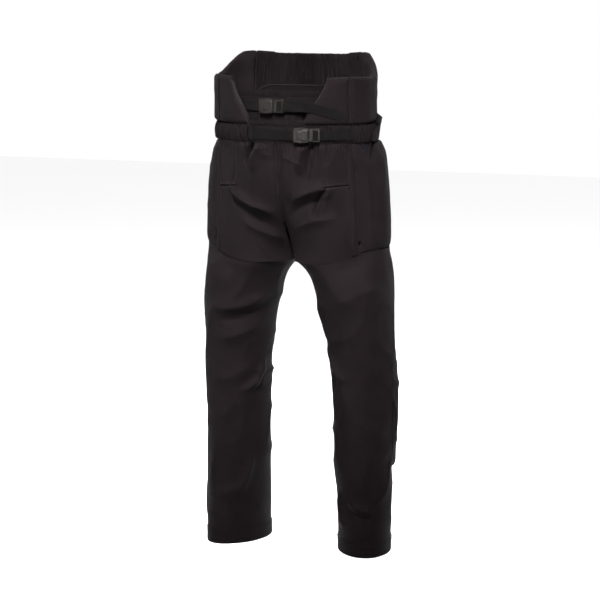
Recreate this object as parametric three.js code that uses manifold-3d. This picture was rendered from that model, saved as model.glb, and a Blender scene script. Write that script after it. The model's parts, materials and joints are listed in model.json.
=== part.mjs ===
// Padded protective over-trousers with a kidney collar and two buckled belts.
// Millimetres, +Z up, the front faces -Y and +X is the wearer's left. Heights are counted from the hems,
// and the finished group is lowered so that the origin is the centre of the waist.
import * as THREE from "three";
import { mergeVertices } from "three/addons/utils/BufferGeometryUtils.js";
import Module from "manifold-3d";

// ---- driving dimensions -------------------------------------------------------------------------------------
const WAIST_HEIGHT = 1000; // hem to the centre of the waist, which is the origin
const CLOTH = 3; // doubled shell cloth with its lining
const COVER = 1.5; // single cover cloth round a pad
const GAP = 0.4; // between pieces that are sewn or lie on each other
const FOAM_GAP = 0.7; // between a foam and its cover
const SEAM = 0.25; // half of the gap at a sewn edge, in degrees round the body

// Torso sections, top to bottom: height, half width, half depth, centre forward or back.
const TORSO = [
  [1180, 186, 130, 2],
  [1120, 192, 134, 0],
  [1009, 192, 134, 0],
  [1008.7, 191, 131, 2],
  [969, 193, 131, 4],
  [930, 199, 133, 10],
  [850, 204, 137, 15],
  [745, 208, 136, 18],
  [690, 208, 128, 20],
];

// Leg sections, top to bottom: height, centre off the middle, centre back, half width, half depth, toe-out turn.
const LEG = [
  [690, 121, 20, 101, 116, 0],
  [643, 134, 23, 93, 108, 2],
  [570, 145, 26, 85, 98, 5],
  [490, 153, 30, 77, 88, 8],
  [420, 158, 32, 74, 84, 11],
  [300, 160, 35, 71, 84, 15],
  [150, 160, 38, 65, 90, 19],
  [0, 160, 40, 63, 94, 20],
];

// Collar.
const COLLAR_BOTTOM = 1009;
const COLLAR_TOP_FRONT = 1121;
const COLLAR_TOP_PEAK = 1171;
const COLLAR_TOP_BACK = 1166;
const COLLAR_PAD = 12; // cover, foam and cover
const WING_EDGE_TOP = 38; // degrees from the middle of the front
const WING_EDGE_BOTTOM = 21;
const WING_SEAM = 57;
const BACK_SEAM = 134;
const PIPING_RADIUS = 1.6;

// Waist.
const BAND_BOTTOM = 969;
const BAND_TOP = COLLAR_BOTTOM - GAP;
const BAND_FRONT_RIGHT = -21; // where the flat front band meets the ruched ones, in degrees
const BAND_FRONT_LEFT = 37;
const BAND_BACK = 128;
const RUCHE = 7; // thickness of a ruched band
const INNER_BELT_TOP = 1087;
const INNER_BELT_BOTTOM = 1010;
const INNER_BELT_END = 72;
const INNER_BELT = 2.4;

// Pelvis.
const HIP_PAD_FRONT = 52.5;
const HIP_PAD_BACK = 127.5;
const HIP_PAD = 17;
const PAD_COVER = 2.4; // two cloths over a hip pad
const RISE_BOTTOM = 694; // lowest point of the front and back rise
const LEG_LINE = 724; // the fold line at the outer hip
const FLY_WIDTH = 34;

// Legs.
const THIGH_TOP = 628;
const KNEE_TOP = 500;
const KNEE_BOTTOM = 342;
const HEM = 35;
const FLAP_TOP = 452;
const FLAP_BOTTOM = 205;
const FLAP = 6;
const FLAP_FROM = 72; // degrees round the leg from its front
const FLAP_TO = 126;

// Belts and buckles.
const WEBBING = 25;
const WEBBING_THICK = 2;
const LIE = 0.8; // between webbing and the cloth that it lies on
const UPPER_BELT = 1053; // height of the upper buckle's middle
const UPPER_END = 1027; // height where the upper webbing is stitched down
const UPPER_MOUTH = -4; // x of the upper socket's mouth
const UPPER_LIFT = 1; // the upper buckle stands off the inner belt as its webbing climbs over the wing
const LOWER_BELT = 989;
const LOWER_MOUTH = 77;
const SOCKET_LENGTH = 34;
const SOCKET_HEIGHT = 34;
const BUCKLE_THICK = 11;
const BUCKLE_WALL = 2.5;
const PLUG_LENGTH = 23;
const PLUG_HEIGHT = 32;
const PRONG_LENGTH = 22;
const PRONG_WIDTH = 4;
const PRONG_OFFSET = 9.6; // prong's middle, from the middle of the plug

// ---- shape helpers ------------------------------------------------------------------------------------------
const wasm = await Module();
wasm.setup();
const rad = THREE.MathUtils.degToRad;
const lerp = THREE.MathUtils.lerp;
const smooth = THREE.MathUtils.smoothstep;

/** Values of a section table at a height, on straight lines between its rows. */
function sectionAt(table, z) {
  if (z >= table[0][0]) return table[0].slice(1);
  const low = table.findIndex((row) => row[0] <= z);
  if (low < 0) return table[table.length - 1].slice(1);
  const share = (z - table[low][0]) / (table[low - 1][0] - table[low][0]);
  return table[low].slice(1).map((value, i) => lerp(value, table[low - 1][i + 1], share));
}

/** Point at an angle on an ellipse and `out` beyond it; angle 0 is the front and 90 is +X. */
function ellipsePoint(centreX, centreY, halfWidth, halfDepth, degrees, out) {
  const sine = Math.sin(rad(degrees));
  const cosine = Math.cos(rad(degrees));
  const normal = new THREE.Vector2(sine / halfWidth, -cosine / halfDepth).normalize();
  return [centreX + halfWidth * sine + normal.x * out, centreY - halfDepth * cosine + normal.y * out];
}

function torsoPoint(degrees, z, out) {
  const [halfWidth, halfDepth, back] = sectionAt(TORSO, z);
  const [x, y] = ellipsePoint(0, back, halfWidth, halfDepth, degrees, out);
  return new THREE.Vector3(x, y, z);
}

/** Point on a leg; angle 0 is its front and 90 its outer side, and the section is turned out by its twist. */
function legPoint(side, degrees, z, out) {
  const [middle, back, halfWidth, halfDepth, turn] = sectionAt(LEG, z);
  const [dx, dy] = ellipsePoint(0, 0, halfWidth, halfDepth, degrees, out);
  const x = dx * Math.cos(rad(turn)) - dy * Math.sin(rad(turn));
  const y = dx * Math.sin(rad(turn)) + dy * Math.cos(rad(turn));
  return new THREE.Vector3(side * (middle + x), back + y, z);
}

/** Closed slab between point(u, v, outer) and point(u, v, inner), with u and v from 0 to 1. */
function slab(point, outer, inner, nu, nv, ring = false) {
  const columns = ring ? nu : nu + 1;
  const positions = [];
  for (const depth of [outer, inner]) {
    for (let i = 0; i < columns; i++) {
      for (let j = 0; j <= nv; j++) positions.push(...point(i / nu, j / nv, depth).toArray());
    }
  }
  const at = (layer, i, j) => (layer * columns + (i % columns)) * (nv + 1) + j;
  const faces = [];
  const quad = (a, b, c, d) => faces.push(a, b, c, a, c, d);
  for (let i = 0; i < nu; i++) {
    for (let j = 0; j < nv; j++) {
      quad(at(0, i, j), at(0, i + 1, j), at(0, i + 1, j + 1), at(0, i, j + 1));
      quad(at(1, i, j), at(1, i, j + 1), at(1, i + 1, j + 1), at(1, i + 1, j));
    }
    quad(at(0, i, 0), at(1, i, 0), at(1, i + 1, 0), at(0, i + 1, 0));
    quad(at(0, i, nv), at(0, i + 1, nv), at(1, i + 1, nv), at(1, i, nv));
  }
  for (let j = 0; j < nv && !ring; j++) {
    quad(at(0, 0, j), at(0, 0, j + 1), at(1, 0, j + 1), at(1, 0, j));
    quad(at(0, nu, j), at(1, nu, j), at(1, nu, j + 1), at(0, nu, j + 1));
  }
  const geometry = new THREE.BufferGeometry();
  geometry.setAttribute("position", new THREE.Float32BufferAttribute(positions, 3));
  geometry.setIndex(faces);
  return facingOut(geometry);
}

/** Turns a closed geometry's faces round if they point inwards. */
function facingOut(geometry) {
  const p = geometry.attributes.position;
  const index = geometry.index.array;
  const [a, b, c] = [new THREE.Vector3(), new THREE.Vector3(), new THREE.Vector3()];
  let volume = 0;
  for (let i = 0; i < index.length; i += 3) {
    a.fromBufferAttribute(p, index[i]);
    b.fromBufferAttribute(p, index[i + 1]);
    c.fromBufferAttribute(p, index[i + 2]);
    volume += a.dot(b.cross(c));
  }
  if (volume < 0) geometry.setIndex(Array.from(index).reverse());
  return geometry;
}

function toSolid(geometry) {
  const bare = geometry.clone();
  for (const name of ["normal", "uv"]) bare.deleteAttribute(name);
  const merged = mergeVertices(bare, 1e-4);
  return new wasm.Manifold(
    new wasm.Mesh({
      numProp: 3,
      vertProperties: new Float32Array(merged.attributes.position.array),
      triVerts: new Uint32Array(merged.index.array),
    }),
  );
}

function toGeometry(solid) {
  const mesh = solid.getMesh();
  const geometry = new THREE.BufferGeometry();
  geometry.setAttribute("position", new THREE.BufferAttribute(mesh.vertProperties, 3));
  geometry.setIndex(new THREE.BufferAttribute(mesh.triVerts, 1));
  return geometry;
}

function cut(geometry, ...tools) {
  return toGeometry(tools.reduce((solid, tool) => solid.subtract(toSolid(tool)), toSolid(geometry)));
}

function trim(geometry, tool) {
  return toGeometry(toSolid(geometry).intersect(toSolid(tool)));
}

function join(...geometries) {
  const solids = geometries.map(toSolid);
  return toGeometry(solids.slice(1).reduce((sum, solid) => sum.add(solid), solids[0]));
}

/** Box between two corners. */
function block(x0, x1, y0, y1, z0, z1) {
  return new THREE.BoxGeometry(x1 - x0, y1 - y0, z1 - z0).translate((x0 + x1) / 2, (y0 + y1) / 2, (z0 + z1) / 2);
}

/** Outline in x and z, given as a THREE.Shape, raised from y0 to y1. */
function plate(shape, y0, y1, steps = 4) {
  const geometry = new THREE.ExtrudeGeometry(shape, { depth: y1 - y0, bevelEnabled: false, curveSegments: steps });
  return geometry.rotateX(Math.PI / 2).translate(0, y1, 0);
}

// ---- scene graph --------------------------------------------------------------------------------------------
const trousers = new THREE.Group();
trousers.name = "over_trousers";
trousers.position.z = -WAIST_HEIGHT;

const FINISHES = {
  shell: { color: 0x1c181b, roughness: 0.86, metalness: 0 },
  stretch: { color: 0x201a1e, roughness: 0.9, metalness: 0 },
  lining: { color: 0x15121a, roughness: 0.9, metalness: 0 },
  webbing: { color: 0x242022, roughness: 0.7, metalness: 0 },
  plastic: { color: 0x2c2a28, roughness: 0.45, metalness: 0 },
  foam: { color: 0x2a282b, roughness: 0.95, metalness: 0 },
};

function add(name, geometry, finish, parent = trousers) {
  const mesh = new THREE.Mesh(geometry, new THREE.MeshStandardMaterial(FINISHES[finish]));
  mesh.name = name;
  parent.add(mesh);
  return mesh;
}

/** Solid rod from point(u, v, 1), with v round it, and flat ends. */
function rod(point, steps, sides) {
  const positions = [];
  for (let i = 0; i <= steps; i++) {
    for (let j = 0; j < sides; j++) positions.push(...point(i / steps, j / sides, 1).toArray());
  }
  const ends = positions.length / 3;
  positions.push(...point(0, 0, 0).toArray(), ...point(1, 0, 0).toArray());
  const faces = [];
  for (let j = 0; j < sides; j++) {
    const next = (j + 1) % sides;
    for (let i = 0; i < steps; i++) {
      const a = i * sides;
      const b = a + sides;
      faces.push(a + j, a + next, b + next, a + j, b + next, b + j);
    }
    faces.push(ends, next, j, ends + 1, steps * sides + j, steps * sides + next);
  }
  const geometry = new THREE.BufferGeometry();
  geometry.setAttribute("position", new THREE.Float32BufferAttribute(positions, 3));
  geometry.setIndex(faces);
  return facingOut(geometry);
}

// ---- collar -------------------------------------------------------------------------------------------------
/** Height of the collar's top edge: level along the front and sides, a peak at each back seam, a low back. */
function collarTop(degrees) {
  const away = Math.abs(degrees > 180 ? degrees - 360 : degrees);
  const rise = smooth(away, 85, BACK_SEAM - 6);
  const dip = smooth(away, BACK_SEAM - 2, 160);
  const peak = COLLAR_TOP_FRONT + rise * (COLLAR_TOP_PEAK - COLLAR_TOP_FRONT);
  return peak - dip * (COLLAR_TOP_PEAK - COLLAR_TOP_BACK);
}

/** Front edge of a wing, which leans back from its foot to its top corner. */
function wingEdge(z) {
  return lerp(WING_EDGE_BOTTOM, WING_EDGE_TOP, smooth(z, COLLAR_BOTTOM, COLLAR_TOP_FRONT));
}

/** Pad region between two edge angles, which are functions of height, and two heights. */
function collarRegion(from, to, inset, bottom, topDrop, side) {
  return (u, v, depth) => {
    const level = lerp(COLLAR_BOTTOM, COLLAR_TOP_FRONT, v);
    const degrees = lerp(from(level) + inset, to(level) - inset, u);
    const z = lerp(bottom, collarTop(degrees) - topDrop, v);
    const point = torsoPoint(side * degrees, Math.max(z, COLLAR_BOTTOM), depth);
    return point.setZ(z);
  };
}

/** A sewn cover, open at its foot, and the foam inside it. */
function collarPad(name, from, to, side, columns, finish) {
  const outer = slab(collarRegion(from, to, SEAM, COLLAR_BOTTOM, 0, side), 0, -COLLAR_PAD, columns, 4);
  const pocket = collarRegion(from, to, 1, COLLAR_BOTTOM - 4, COVER, side);
  add(name + "_cover", cut(outer, slab(pocket, -COVER, COVER - COLLAR_PAD, columns, 4)), finish);
  const thick = slab(pocket, -COVER - FOAM_GAP, COVER + FOAM_GAP - COLLAR_PAD, columns, 4);
  const inside = collarRegion(from, to, 2, COLLAR_BOTTOM, 2 * COVER, side);
  const edges = slab(inside, COLLAR_PAD, -2 * COLLAR_PAD, columns, 4);
  add(name + "_foam", trim(thick, edges), "foam");
}

for (const [word, side] of [["left", 1], ["right", -1]]) {
  collarPad("collar_wing_" + word, wingEdge, () => WING_SEAM, side, 6, "shell");
  collarPad("collar_side_" + word, () => WING_SEAM, () => BACK_SEAM, side, 10, "shell");
  // Piping stands on the seam between wing and side.
  const piping = (u, v, depth) => {
    const z = lerp(COLLAR_BOTTOM + 6, COLLAR_TOP_FRONT - 4, u);
    const angle = v * 2 * Math.PI;
    const middle = torsoPoint(side * WING_SEAM, z, GAP + PIPING_RADIUS);
    const along = torsoPoint(side * (WING_SEAM + 1), z, GAP + PIPING_RADIUS).sub(middle).normalize();
    const outward = torsoPoint(side * WING_SEAM, z, GAP + PIPING_RADIUS + 1).sub(middle);
    const radius = depth * PIPING_RADIUS;
    return middle.addScaledVector(along, radius * Math.cos(angle)).addScaledVector(outward, radius * Math.sin(angle));
  };
  add("collar_piping_" + word, rod(piping, 6, 8), "shell");
}
collarPad("collar_back", () => BACK_SEAM, () => 360 - BACK_SEAM, 1, 12, "stretch");

// ---- waist --------------------------------------------------------------------------------------------------
/** Region of the torso between two angles and two heights. */
function torsoRegion(from, to, bottom, top) {
  return (u, v, depth) => torsoPoint(lerp(from, to, u), lerp(bottom, top, v), depth);
}

// The ribbed belt inside the front opening, and the lowest cloth that the upper belt lies on.
const innerBeltFace = -COLLAR_PAD - WEBBING_THICK - 2 * LIE;
const innerBelt = (u, v, depth) => {
  const degrees = lerp(-INNER_BELT_END, INNER_BELT_END, u);
  const sewn = smooth(Math.abs(degrees), 60, 68) * (WEBBING_THICK + 2 * LIE - GAP);
  return torsoPoint(degrees, lerp(INNER_BELT_BOTTOM, INNER_BELT_TOP, v), innerBeltFace + sewn + depth);
};
add("inner_front_belt", slab(innerBelt, 0, -INNER_BELT, 18, 1), "stretch");
const bands = {
  waistband_front: [BAND_FRONT_RIGHT, BAND_FRONT_LEFT, CLOTH, 8],
  waistband_left: [BAND_FRONT_LEFT, BAND_BACK, RUCHE, 9],
  waistband_back: [BAND_BACK, 360 - BAND_BACK, RUCHE, 10],
  waistband_right: [360 - BAND_BACK, 360 + BAND_FRONT_RIGHT, RUCHE, 10],
};
for (const [name, [from, to, thick, columns]] of Object.entries(bands)) {
  add(name, slab(torsoRegion(from + SEAM, to - SEAM, BAND_BOTTOM, BAND_TOP), 0, -thick, columns, 1), "stretch");
}

// ---- pelvis -------------------------------------------------------------------------------------------------
const PELVIS_TOP = BAND_BOTTOM - GAP;
/** Height of the fold line where the rise meets the legs: lowest in the middle, highest at the outer hip. */
function legLine(degrees) {
  return lerp(RISE_BOTTOM, LEG_LINE, smooth(Math.abs(Math.sin(rad(degrees))), 0.06, 0.62));
}

function pelvisRegion(from, to, lift = 0) {
  return (u, v, depth) => {
    const degrees = lerp(from, to, u);
    return torsoPoint(degrees, lerp(legLine(degrees) + lift, PELVIS_TOP, v), depth);
  };
}

add("front_panel_left", slab(pelvisRegion(SEAM, HIP_PAD_FRONT - SEAM), 0, -CLOTH, 7, 4), "shell");
add("front_panel_right", slab(pelvisRegion(SEAM - HIP_PAD_FRONT, -SEAM), 0, -CLOTH, 7, 4), "shell");
add("back_panel_left", slab(pelvisRegion(HIP_PAD_BACK + SEAM, 180 - SEAM), 0, -CLOTH, 7, 4), "shell");
add("back_panel_right", slab(pelvisRegion(180 + SEAM, 360 - HIP_PAD_BACK - SEAM), 0, -CLOTH, 7, 4), "shell");

const [flyRadius] = sectionAt(TORSO, BAND_BOTTOM);
const flyAngle = THREE.MathUtils.radToDeg(FLY_WIDTH / flyRadius);
const flyRegion = torsoRegion(-flyAngle / 2, flyAngle / 2, RISE_BOTTOM + 90, BAND_BOTTOM - 6);
add("fly_facing", slab(flyRegion, -CLOTH - FOAM_GAP, -2 * CLOTH, 3, 5), "lining");

/** How far a hip pad stands out: nothing at its edges, full over its middle. */
function padSwell(degrees, z) {
  const u = (degrees - HIP_PAD_FRONT) / (HIP_PAD_BACK - HIP_PAD_FRONT);
  const v = (z - LEG_LINE) / (PELVIS_TOP - LEG_LINE);
  const across = smooth(u, -0.02, 0.14) * smooth(1 - u, -0.02, 0.16);
  return (HIP_PAD - CLOTH) * across * smooth(v, -0.3, 0.3) * smooth(1 - v, -0.08, 0.12);
}

/** Hip pad region, `inset` degrees inside its side edges and `thin` inside its two faces. */
function hipPadRegion(side, inset, bottom, top, thin) {
  return (u, v, depth) => {
    const degrees = lerp(HIP_PAD_FRONT + inset, HIP_PAD_BACK - inset, u);
    const z = lerp(bottom, top, v);
    return torsoPoint(side * degrees, z, depth > 0 ? padSwell(degrees, z) - thin : thin - CLOTH);
  };
}

for (const [word, side] of [["left", 1], ["right", -1]]) {
  const outer = slab(hipPadRegion(side, SEAM, LEG_LINE, PELVIS_TOP, 0), 1, 0, 10, 6);
  const pocketEdge = 0.15 * (HIP_PAD_BACK - HIP_PAD_FRONT);
  const pocketTop = lerp(PELVIS_TOP, LEG_LINE, 0.13);
  const region = (inset, bottom, drop, outerThin, innerThin) => (u, v, depth) => {
    const shape = hipPadRegion(side, inset, bottom, pocketTop - drop, depth > 0 ? outerThin : innerThin);
    return shape(u, v, depth);
  };
  const pocket = region(pocketEdge, LEG_LINE - 4, 0, PAD_COVER, COVER / 2);
  add("hip_pad_cover_" + word, cut(outer, slab(pocket, 1, 0, 10, 6)), "shell");
  const thick = region(pocketEdge, LEG_LINE - 4, 0, PAD_COVER + FOAM_GAP, COVER / 2 + FOAM_GAP);
  const edges = region(pocketEdge + 1.5, LEG_LINE + 1, 2, -2 * CLOTH, -2 * CLOTH);
  add("hip_pad_foam_" + word, trim(slab(thick, 1, 0, 10, 6), slab(edges, 1, 0, 10, 6)), "foam");
}

// ---- legs ---------------------------------------------------------------------------------------------------
/** Cloth that folds at the hip: from the thigh's round section up to the fold line of the rise. */
function hipRegion(side) {
  const inner = 1.2; // half of the gap between the two legs at the crotch
  return (u, v, depth) => {
    const degrees = u * 360;
    const low = legPoint(side, degrees, THIGH_TOP + GAP, depth);
    const outerHalf = degrees <= 180;
    const around = lerp(0.4, 179.6, degrees / 180);
    const top = outerHalf
      ? torsoPoint(around, legLine(around) - FOAM_GAP, depth)
      : torsoPoint(0, RISE_BOTTOM - GAP, 0);
    if (!outerHalf) {
      const [, halfDepth, back] = sectionAt(TORSO, RISE_BOTTOM);
      const fold = Math.sin(rad(degrees - 180));
      const reach = halfDepth - (depth < 0 ? CLOTH : 0) * (1 - fold);
      top.set(inner - depth * fold, back - reach * Math.cos(rad(degrees)), RISE_BOTTOM - GAP - 4 * fold);
    }
    top.x = side * Math.max(top.x, inner);
    return low.lerp(top, v);
  };
}

/** Leg region between two angles and two heights. */
function legRegion(side, from, to, bottom, top) {
  return (u, v, depth) => legPoint(side, lerp(from, to, u), lerp(bottom, top, v), depth);
}

for (const [word, side] of [["left", 1], ["right", -1]]) {
  add("hip_fold_" + word, slab(hipRegion(side), 0, -CLOTH, 48, 2, true), "shell");
  const halves = [["front", -90], ["back", 90]];
  for (const [half, start] of halves) {
    const thigh = legRegion(side, start + SEAM, start + 180 - SEAM, KNEE_TOP, THIGH_TOP);
    add("thigh_" + half + "_" + word, slab(thigh, 0, -CLOTH, 10, 2), "shell");
    const shin = legRegion(side, start + SEAM, start + 180 - SEAM, HEM + GAP, KNEE_BOTTOM);
    add("shin_" + half + "_" + word, slab(shin, 0, -CLOTH, 10, 3), "shell");
  }
  const knee = legRegion(side, 0, 360, KNEE_BOTTOM + GAP, KNEE_TOP - GAP);
  add("knee_fold_" + word, slab(knee, 0, -CLOTH, 20, 3, true), "shell");
  add("hem_band_" + word, slab(legRegion(side, 0, 360, 0, HEM), 1, -CLOTH - 1, 20, 1, true), "shell");
  const flap = legRegion(side, FLAP_FROM, FLAP_TO, FLAP_BOTTOM, FLAP_TOP);
  add("side_flap_" + word, slab(flap, FOAM_GAP + FLAP, FOAM_GAP, 3, 5), "shell");
}

// ---- belts --------------------------------------------------------------------------------------------------
/** Flat webbing along a list of stations { point, out }, its width upright, resting on the points. */
function webbing(stations) {
  const up = new THREE.Vector3(0, 0, 1);
  const shape = (u, v, depth) => {
    const { point, out } = stations[Math.round(u * (stations.length - 1))];
    return point.clone().addScaledVector(up, (v - 0.5) * WEBBING).addScaledVector(out, depth);
  };
  return slab(shape, WEBBING_THICK, 0, stations.length - 1, 1);
}

/** Station of webbing on the torso at an angle, a height and a distance out of the torso's face. */
function onTorso(degrees, z, out) {
  const point = torsoPoint(degrees, z, out);
  return { point, out: torsoPoint(degrees, z, out + 1).sub(point) };
}

/** Frame of a buckle: origin at its socket's mouth, x along the belt towards the plug, y into the body.
 *  It lies flat on the torso, or points at `aim` where the belt climbs over an edge. */
function buckleFrame(mouthX, z, out, aim = null) {
  const halfWidth = sectionAt(TORSO, z)[0];
  const degrees = THREE.MathUtils.radToDeg(Math.asin(mouthX / halfWidth));
  const { point, out: outward } = onTorso(degrees, z, out);
  const along = aim ? aim.clone().sub(point) : new THREE.Vector3(-outward.y, outward.x, 0);
  const frame = new THREE.Group();
  frame.position.copy(point);
  frame.rotation.z = Math.atan2(along.y, along.x);
  trousers.add(frame);
  return frame;
}

/** Station of webbing in a buckle's frame, `along` the belt from the mouth. */
function inFrame(frame, along, z = 0, out = 0) {
  frame.updateMatrix();
  const point = new THREE.Vector3(along, -out, z).applyMatrix4(frame.matrix);
  const outward = new THREE.Vector3(0, -1, 0).applyQuaternion(frame.quaternion);
  return { point, out: outward };
}

const CAVITY_HALF = SOCKET_HEIGHT / 2 - 2.6;
const CAVITY_DEPTH = 26;
const PLUG_FACE = 2.6; // plug body's start, in front of the socket's mouth
const TAIL_SLOT = 3.2; // slot that holds the end of the socket's webbing

function socketShape() {
  const half = SOCKET_HEIGHT / 2;
  const outline = new THREE.Shape();
  outline.moveTo(0, -half + 3);
  outline.quadraticCurveTo(-SOCKET_LENGTH * 0.3, -half, -SOCKET_LENGTH * 0.5, -half);
  outline.lineTo(-SOCKET_LENGTH + 3, -half + 2);
  outline.quadraticCurveTo(-SOCKET_LENGTH, -half + 2, -SOCKET_LENGTH, -half + 5);
  outline.lineTo(-SOCKET_LENGTH, half - 5);
  outline.quadraticCurveTo(-SOCKET_LENGTH, half - 2, -SOCKET_LENGTH + 3, half - 2);
  outline.lineTo(-SOCKET_LENGTH * 0.5, half);
  outline.quadraticCurveTo(-SOCKET_LENGTH * 0.3, half, 0, half - 3);
  const inner = BUCKLE_THICK - BUCKLE_WALL;
  const tailTop = -GAP - WEBBING_THICK - TAIL_SLOT + WEBBING_THICK;
  return cut(
    plate(outline, -BUCKLE_THICK, 0),
    block(-CAVITY_DEPTH, 1, -inner, -BUCKLE_WALL, -CAVITY_HALF, CAVITY_HALF),
    block(-CAVITY_DEPTH + 8, -CAVITY_DEPTH + 18, -inner, -BUCKLE_WALL, -half - 1, half + 1),
    block(-SOCKET_LENGTH - 1, -CAVITY_DEPTH - 1.5, tailTop, -GAP, -WEBBING / 2 - 0.6, WEBBING / 2 + 0.6),
  );
}

function plugShape() {
  const half = PLUG_HEIGHT / 2;
  const end = PLUG_FACE + PLUG_LENGTH;
  const outline = new THREE.Shape();
  outline.moveTo(PLUG_FACE, -half + 2);
  outline.lineTo(end - 4, -half + 1);
  outline.quadraticCurveTo(end, -half + 1, end, -half + 5);
  outline.lineTo(end, half - 5);
  outline.quadraticCurveTo(end, half - 1, end - 4, half - 1);
  outline.lineTo(PLUG_FACE, half - 2);
  const near = -WEBBING_THICK - 2 * GAP; // clears the webbing that runs under the plug
  const far = -BUCKLE_THICK + 1.5;
  const tongueHalf = 2.6;
  const windows = [7.5, 15].map((x) => block(PLUG_FACE + x, PLUG_FACE + x + 4.4, -BUCKLE_THICK, 0, -11.6, 11.6));
  const body = cut(plate(outline, far, near), ...windows);
  return join(body, block(-CAVITY_DEPTH + 8, PLUG_FACE + 1, -7, -4.2, -tongueHalf, tongueHalf));
}

/** Springy prong: a round root on its pivot, an arm, and a head that fills the socket's side window. */
function prongShape(side) {
  const half = PRONG_WIDTH / 2;
  const outline = new THREE.Shape();
  outline.moveTo(0, -half);
  outline.absarc(0, 0, half, -Math.PI / 2, Math.PI / 2, false);
  outline.lineTo(-7, half);
  outline.lineTo(-9, half + 1.8);
  outline.lineTo(-15, half + 1.8);
  outline.lineTo(-PRONG_LENGTH, half - 1.5);
  outline.lineTo(-PRONG_LENGTH, -half);
  const geometry = plate(outline, -7.6, -3.6);
  return side > 0 ? geometry : mirrored(geometry);
}

/** Copy turned upside down, by a half turn about the x axis and back to the same depth. */
function mirrored(geometry) {
  return geometry.rotateX(Math.PI).translate(0, -7.6 - 3.6, 0);
}

const PIVOT = -0.1; // x of the prongs' pivots in the buckle's frame
function addBuckle(name, frame) {
  add(name + "_socket", socketShape(), "plastic", frame);
  add(name + "_plug", plugShape(), "plastic", frame);
  for (const [word, side] of [["top", 1], ["bottom", -1]]) {
    const prong = add(name + "_prong_" + word, prongShape(side), "plastic", frame);
    prong.position.set(PIVOT, 0, side * PRONG_OFFSET);
  }
}

/** Webbing that rides on the plug: it comes up through one window, over the bar and down through the other. */
function turnShape() {
  const out0 = BUCKLE_THICK - 1.5 + GAP;
  const half = WEBBING / 2 - 1.6;
  return block(PLUG_FACE + 8.2, PLUG_FACE + 18.8, -out0 - WEBBING_THICK, -out0, -half, half);
}

// Upper belt: from behind the right wing, over the inner belt, to a stitched end on the left wing.
const beltFace = innerBeltFace + LIE;
const wingLip = onTorso(WING_EDGE_BOTTOM, UPPER_BELT, LIE).point;
const upper = buckleFrame(UPPER_MOUTH, UPPER_BELT, beltFace + UPPER_LIFT, wingLip);
addBuckle("upper", upper);
const socketSide = [-58, -50, -42, -34, -27, -22].map((degrees) => onTorso(degrees, UPPER_BELT, beltFace));
socketSide.push(inFrame(upper, -SOCKET_LENGTH - 3, 0, 0.8), inFrame(upper, -CAVITY_DEPTH - 3, 0, 0.8));
add("upper_webbing_right", webbing(socketSide), "webbing");
const plugSide = [5, 20, 40].map((along) => inFrame(upper, along));
const descent = [[WING_EDGE_BOTTOM, 0], [26, 0.1], [31, 0.27], [36, 0.45], [42, 0.65], [48, 0.85], [53, 1]];
const upperEnd = descent.map(([degrees, share]) => {
  return onTorso(degrees, lerp(UPPER_BELT, UPPER_END, share), LIE);
});
add("upper_webbing_left", webbing(plugSide.concat(upperEnd)), "webbing");
add("upper_webbing_turn", turnShape(), "webbing", upper);

// Lower belt: round the front of the waistband, its ends tucked under the two belt loops.
const lower = buckleFrame(LOWER_MOUTH, LOWER_BELT, LIE);
addBuckle("lower", lower);
const lowerRight = [-20, -14, -8, -2, 4].map((degrees) => onTorso(degrees, LOWER_BELT, LIE));
lowerRight.push(inFrame(lower, -SOCKET_LENGTH - 6, 0, 0.8), inFrame(lower, -CAVITY_DEPTH - 3, 0, 0.8));
add("lower_webbing_right", webbing(lowerRight), "webbing");
const lowerLeft = [5, 20, 40].map((along) => inFrame(lower, along));
lowerLeft.push(...[40, 46, 52, 58].map((degrees) => onTorso(degrees, LOWER_BELT, LIE)));
add("lower_webbing_left", webbing(lowerLeft), "webbing");
add("lower_webbing_turn", turnShape(), "webbing", lower);

// Belt loops stand over the lower belt and are sewn to the waistband above and below it.
function loopShape(from, to) {
  const over = (u, v, depth) => {
    const degrees = lerp(from, to, u);
    return torsoPoint(degrees, lerp(BAND_BOTTOM + 1, BAND_TOP - 1, v), depth);
  };
  const tunnel = (u, v, depth) => {
    const degrees = lerp(from - 1, to + 1, u);
    return torsoPoint(degrees, LOWER_BELT + (v - 0.5) * (WEBBING + 2), depth);
  };
  const rise = LIE + WEBBING_THICK + LIE;
  return cut(slab(over, rise + COVER, GAP, 3, 1), slab(tunnel, rise, 0, 3, 1));
}
add("belt_loop_right", loopShape(-19, -15.5), "webbing");
add("belt_loop_left", loopShape(52, 56), "webbing");

export default trousers;
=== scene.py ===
"""Protective over-trousers with a high padded collar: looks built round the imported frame.

The frame's origin is the middle of the waist. The hems are 1 m below it, and the wearer faces -Y.
Heights in this file are metres above the hems, and angles are degrees round the body from its
front.
"""

import json
import math

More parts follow.
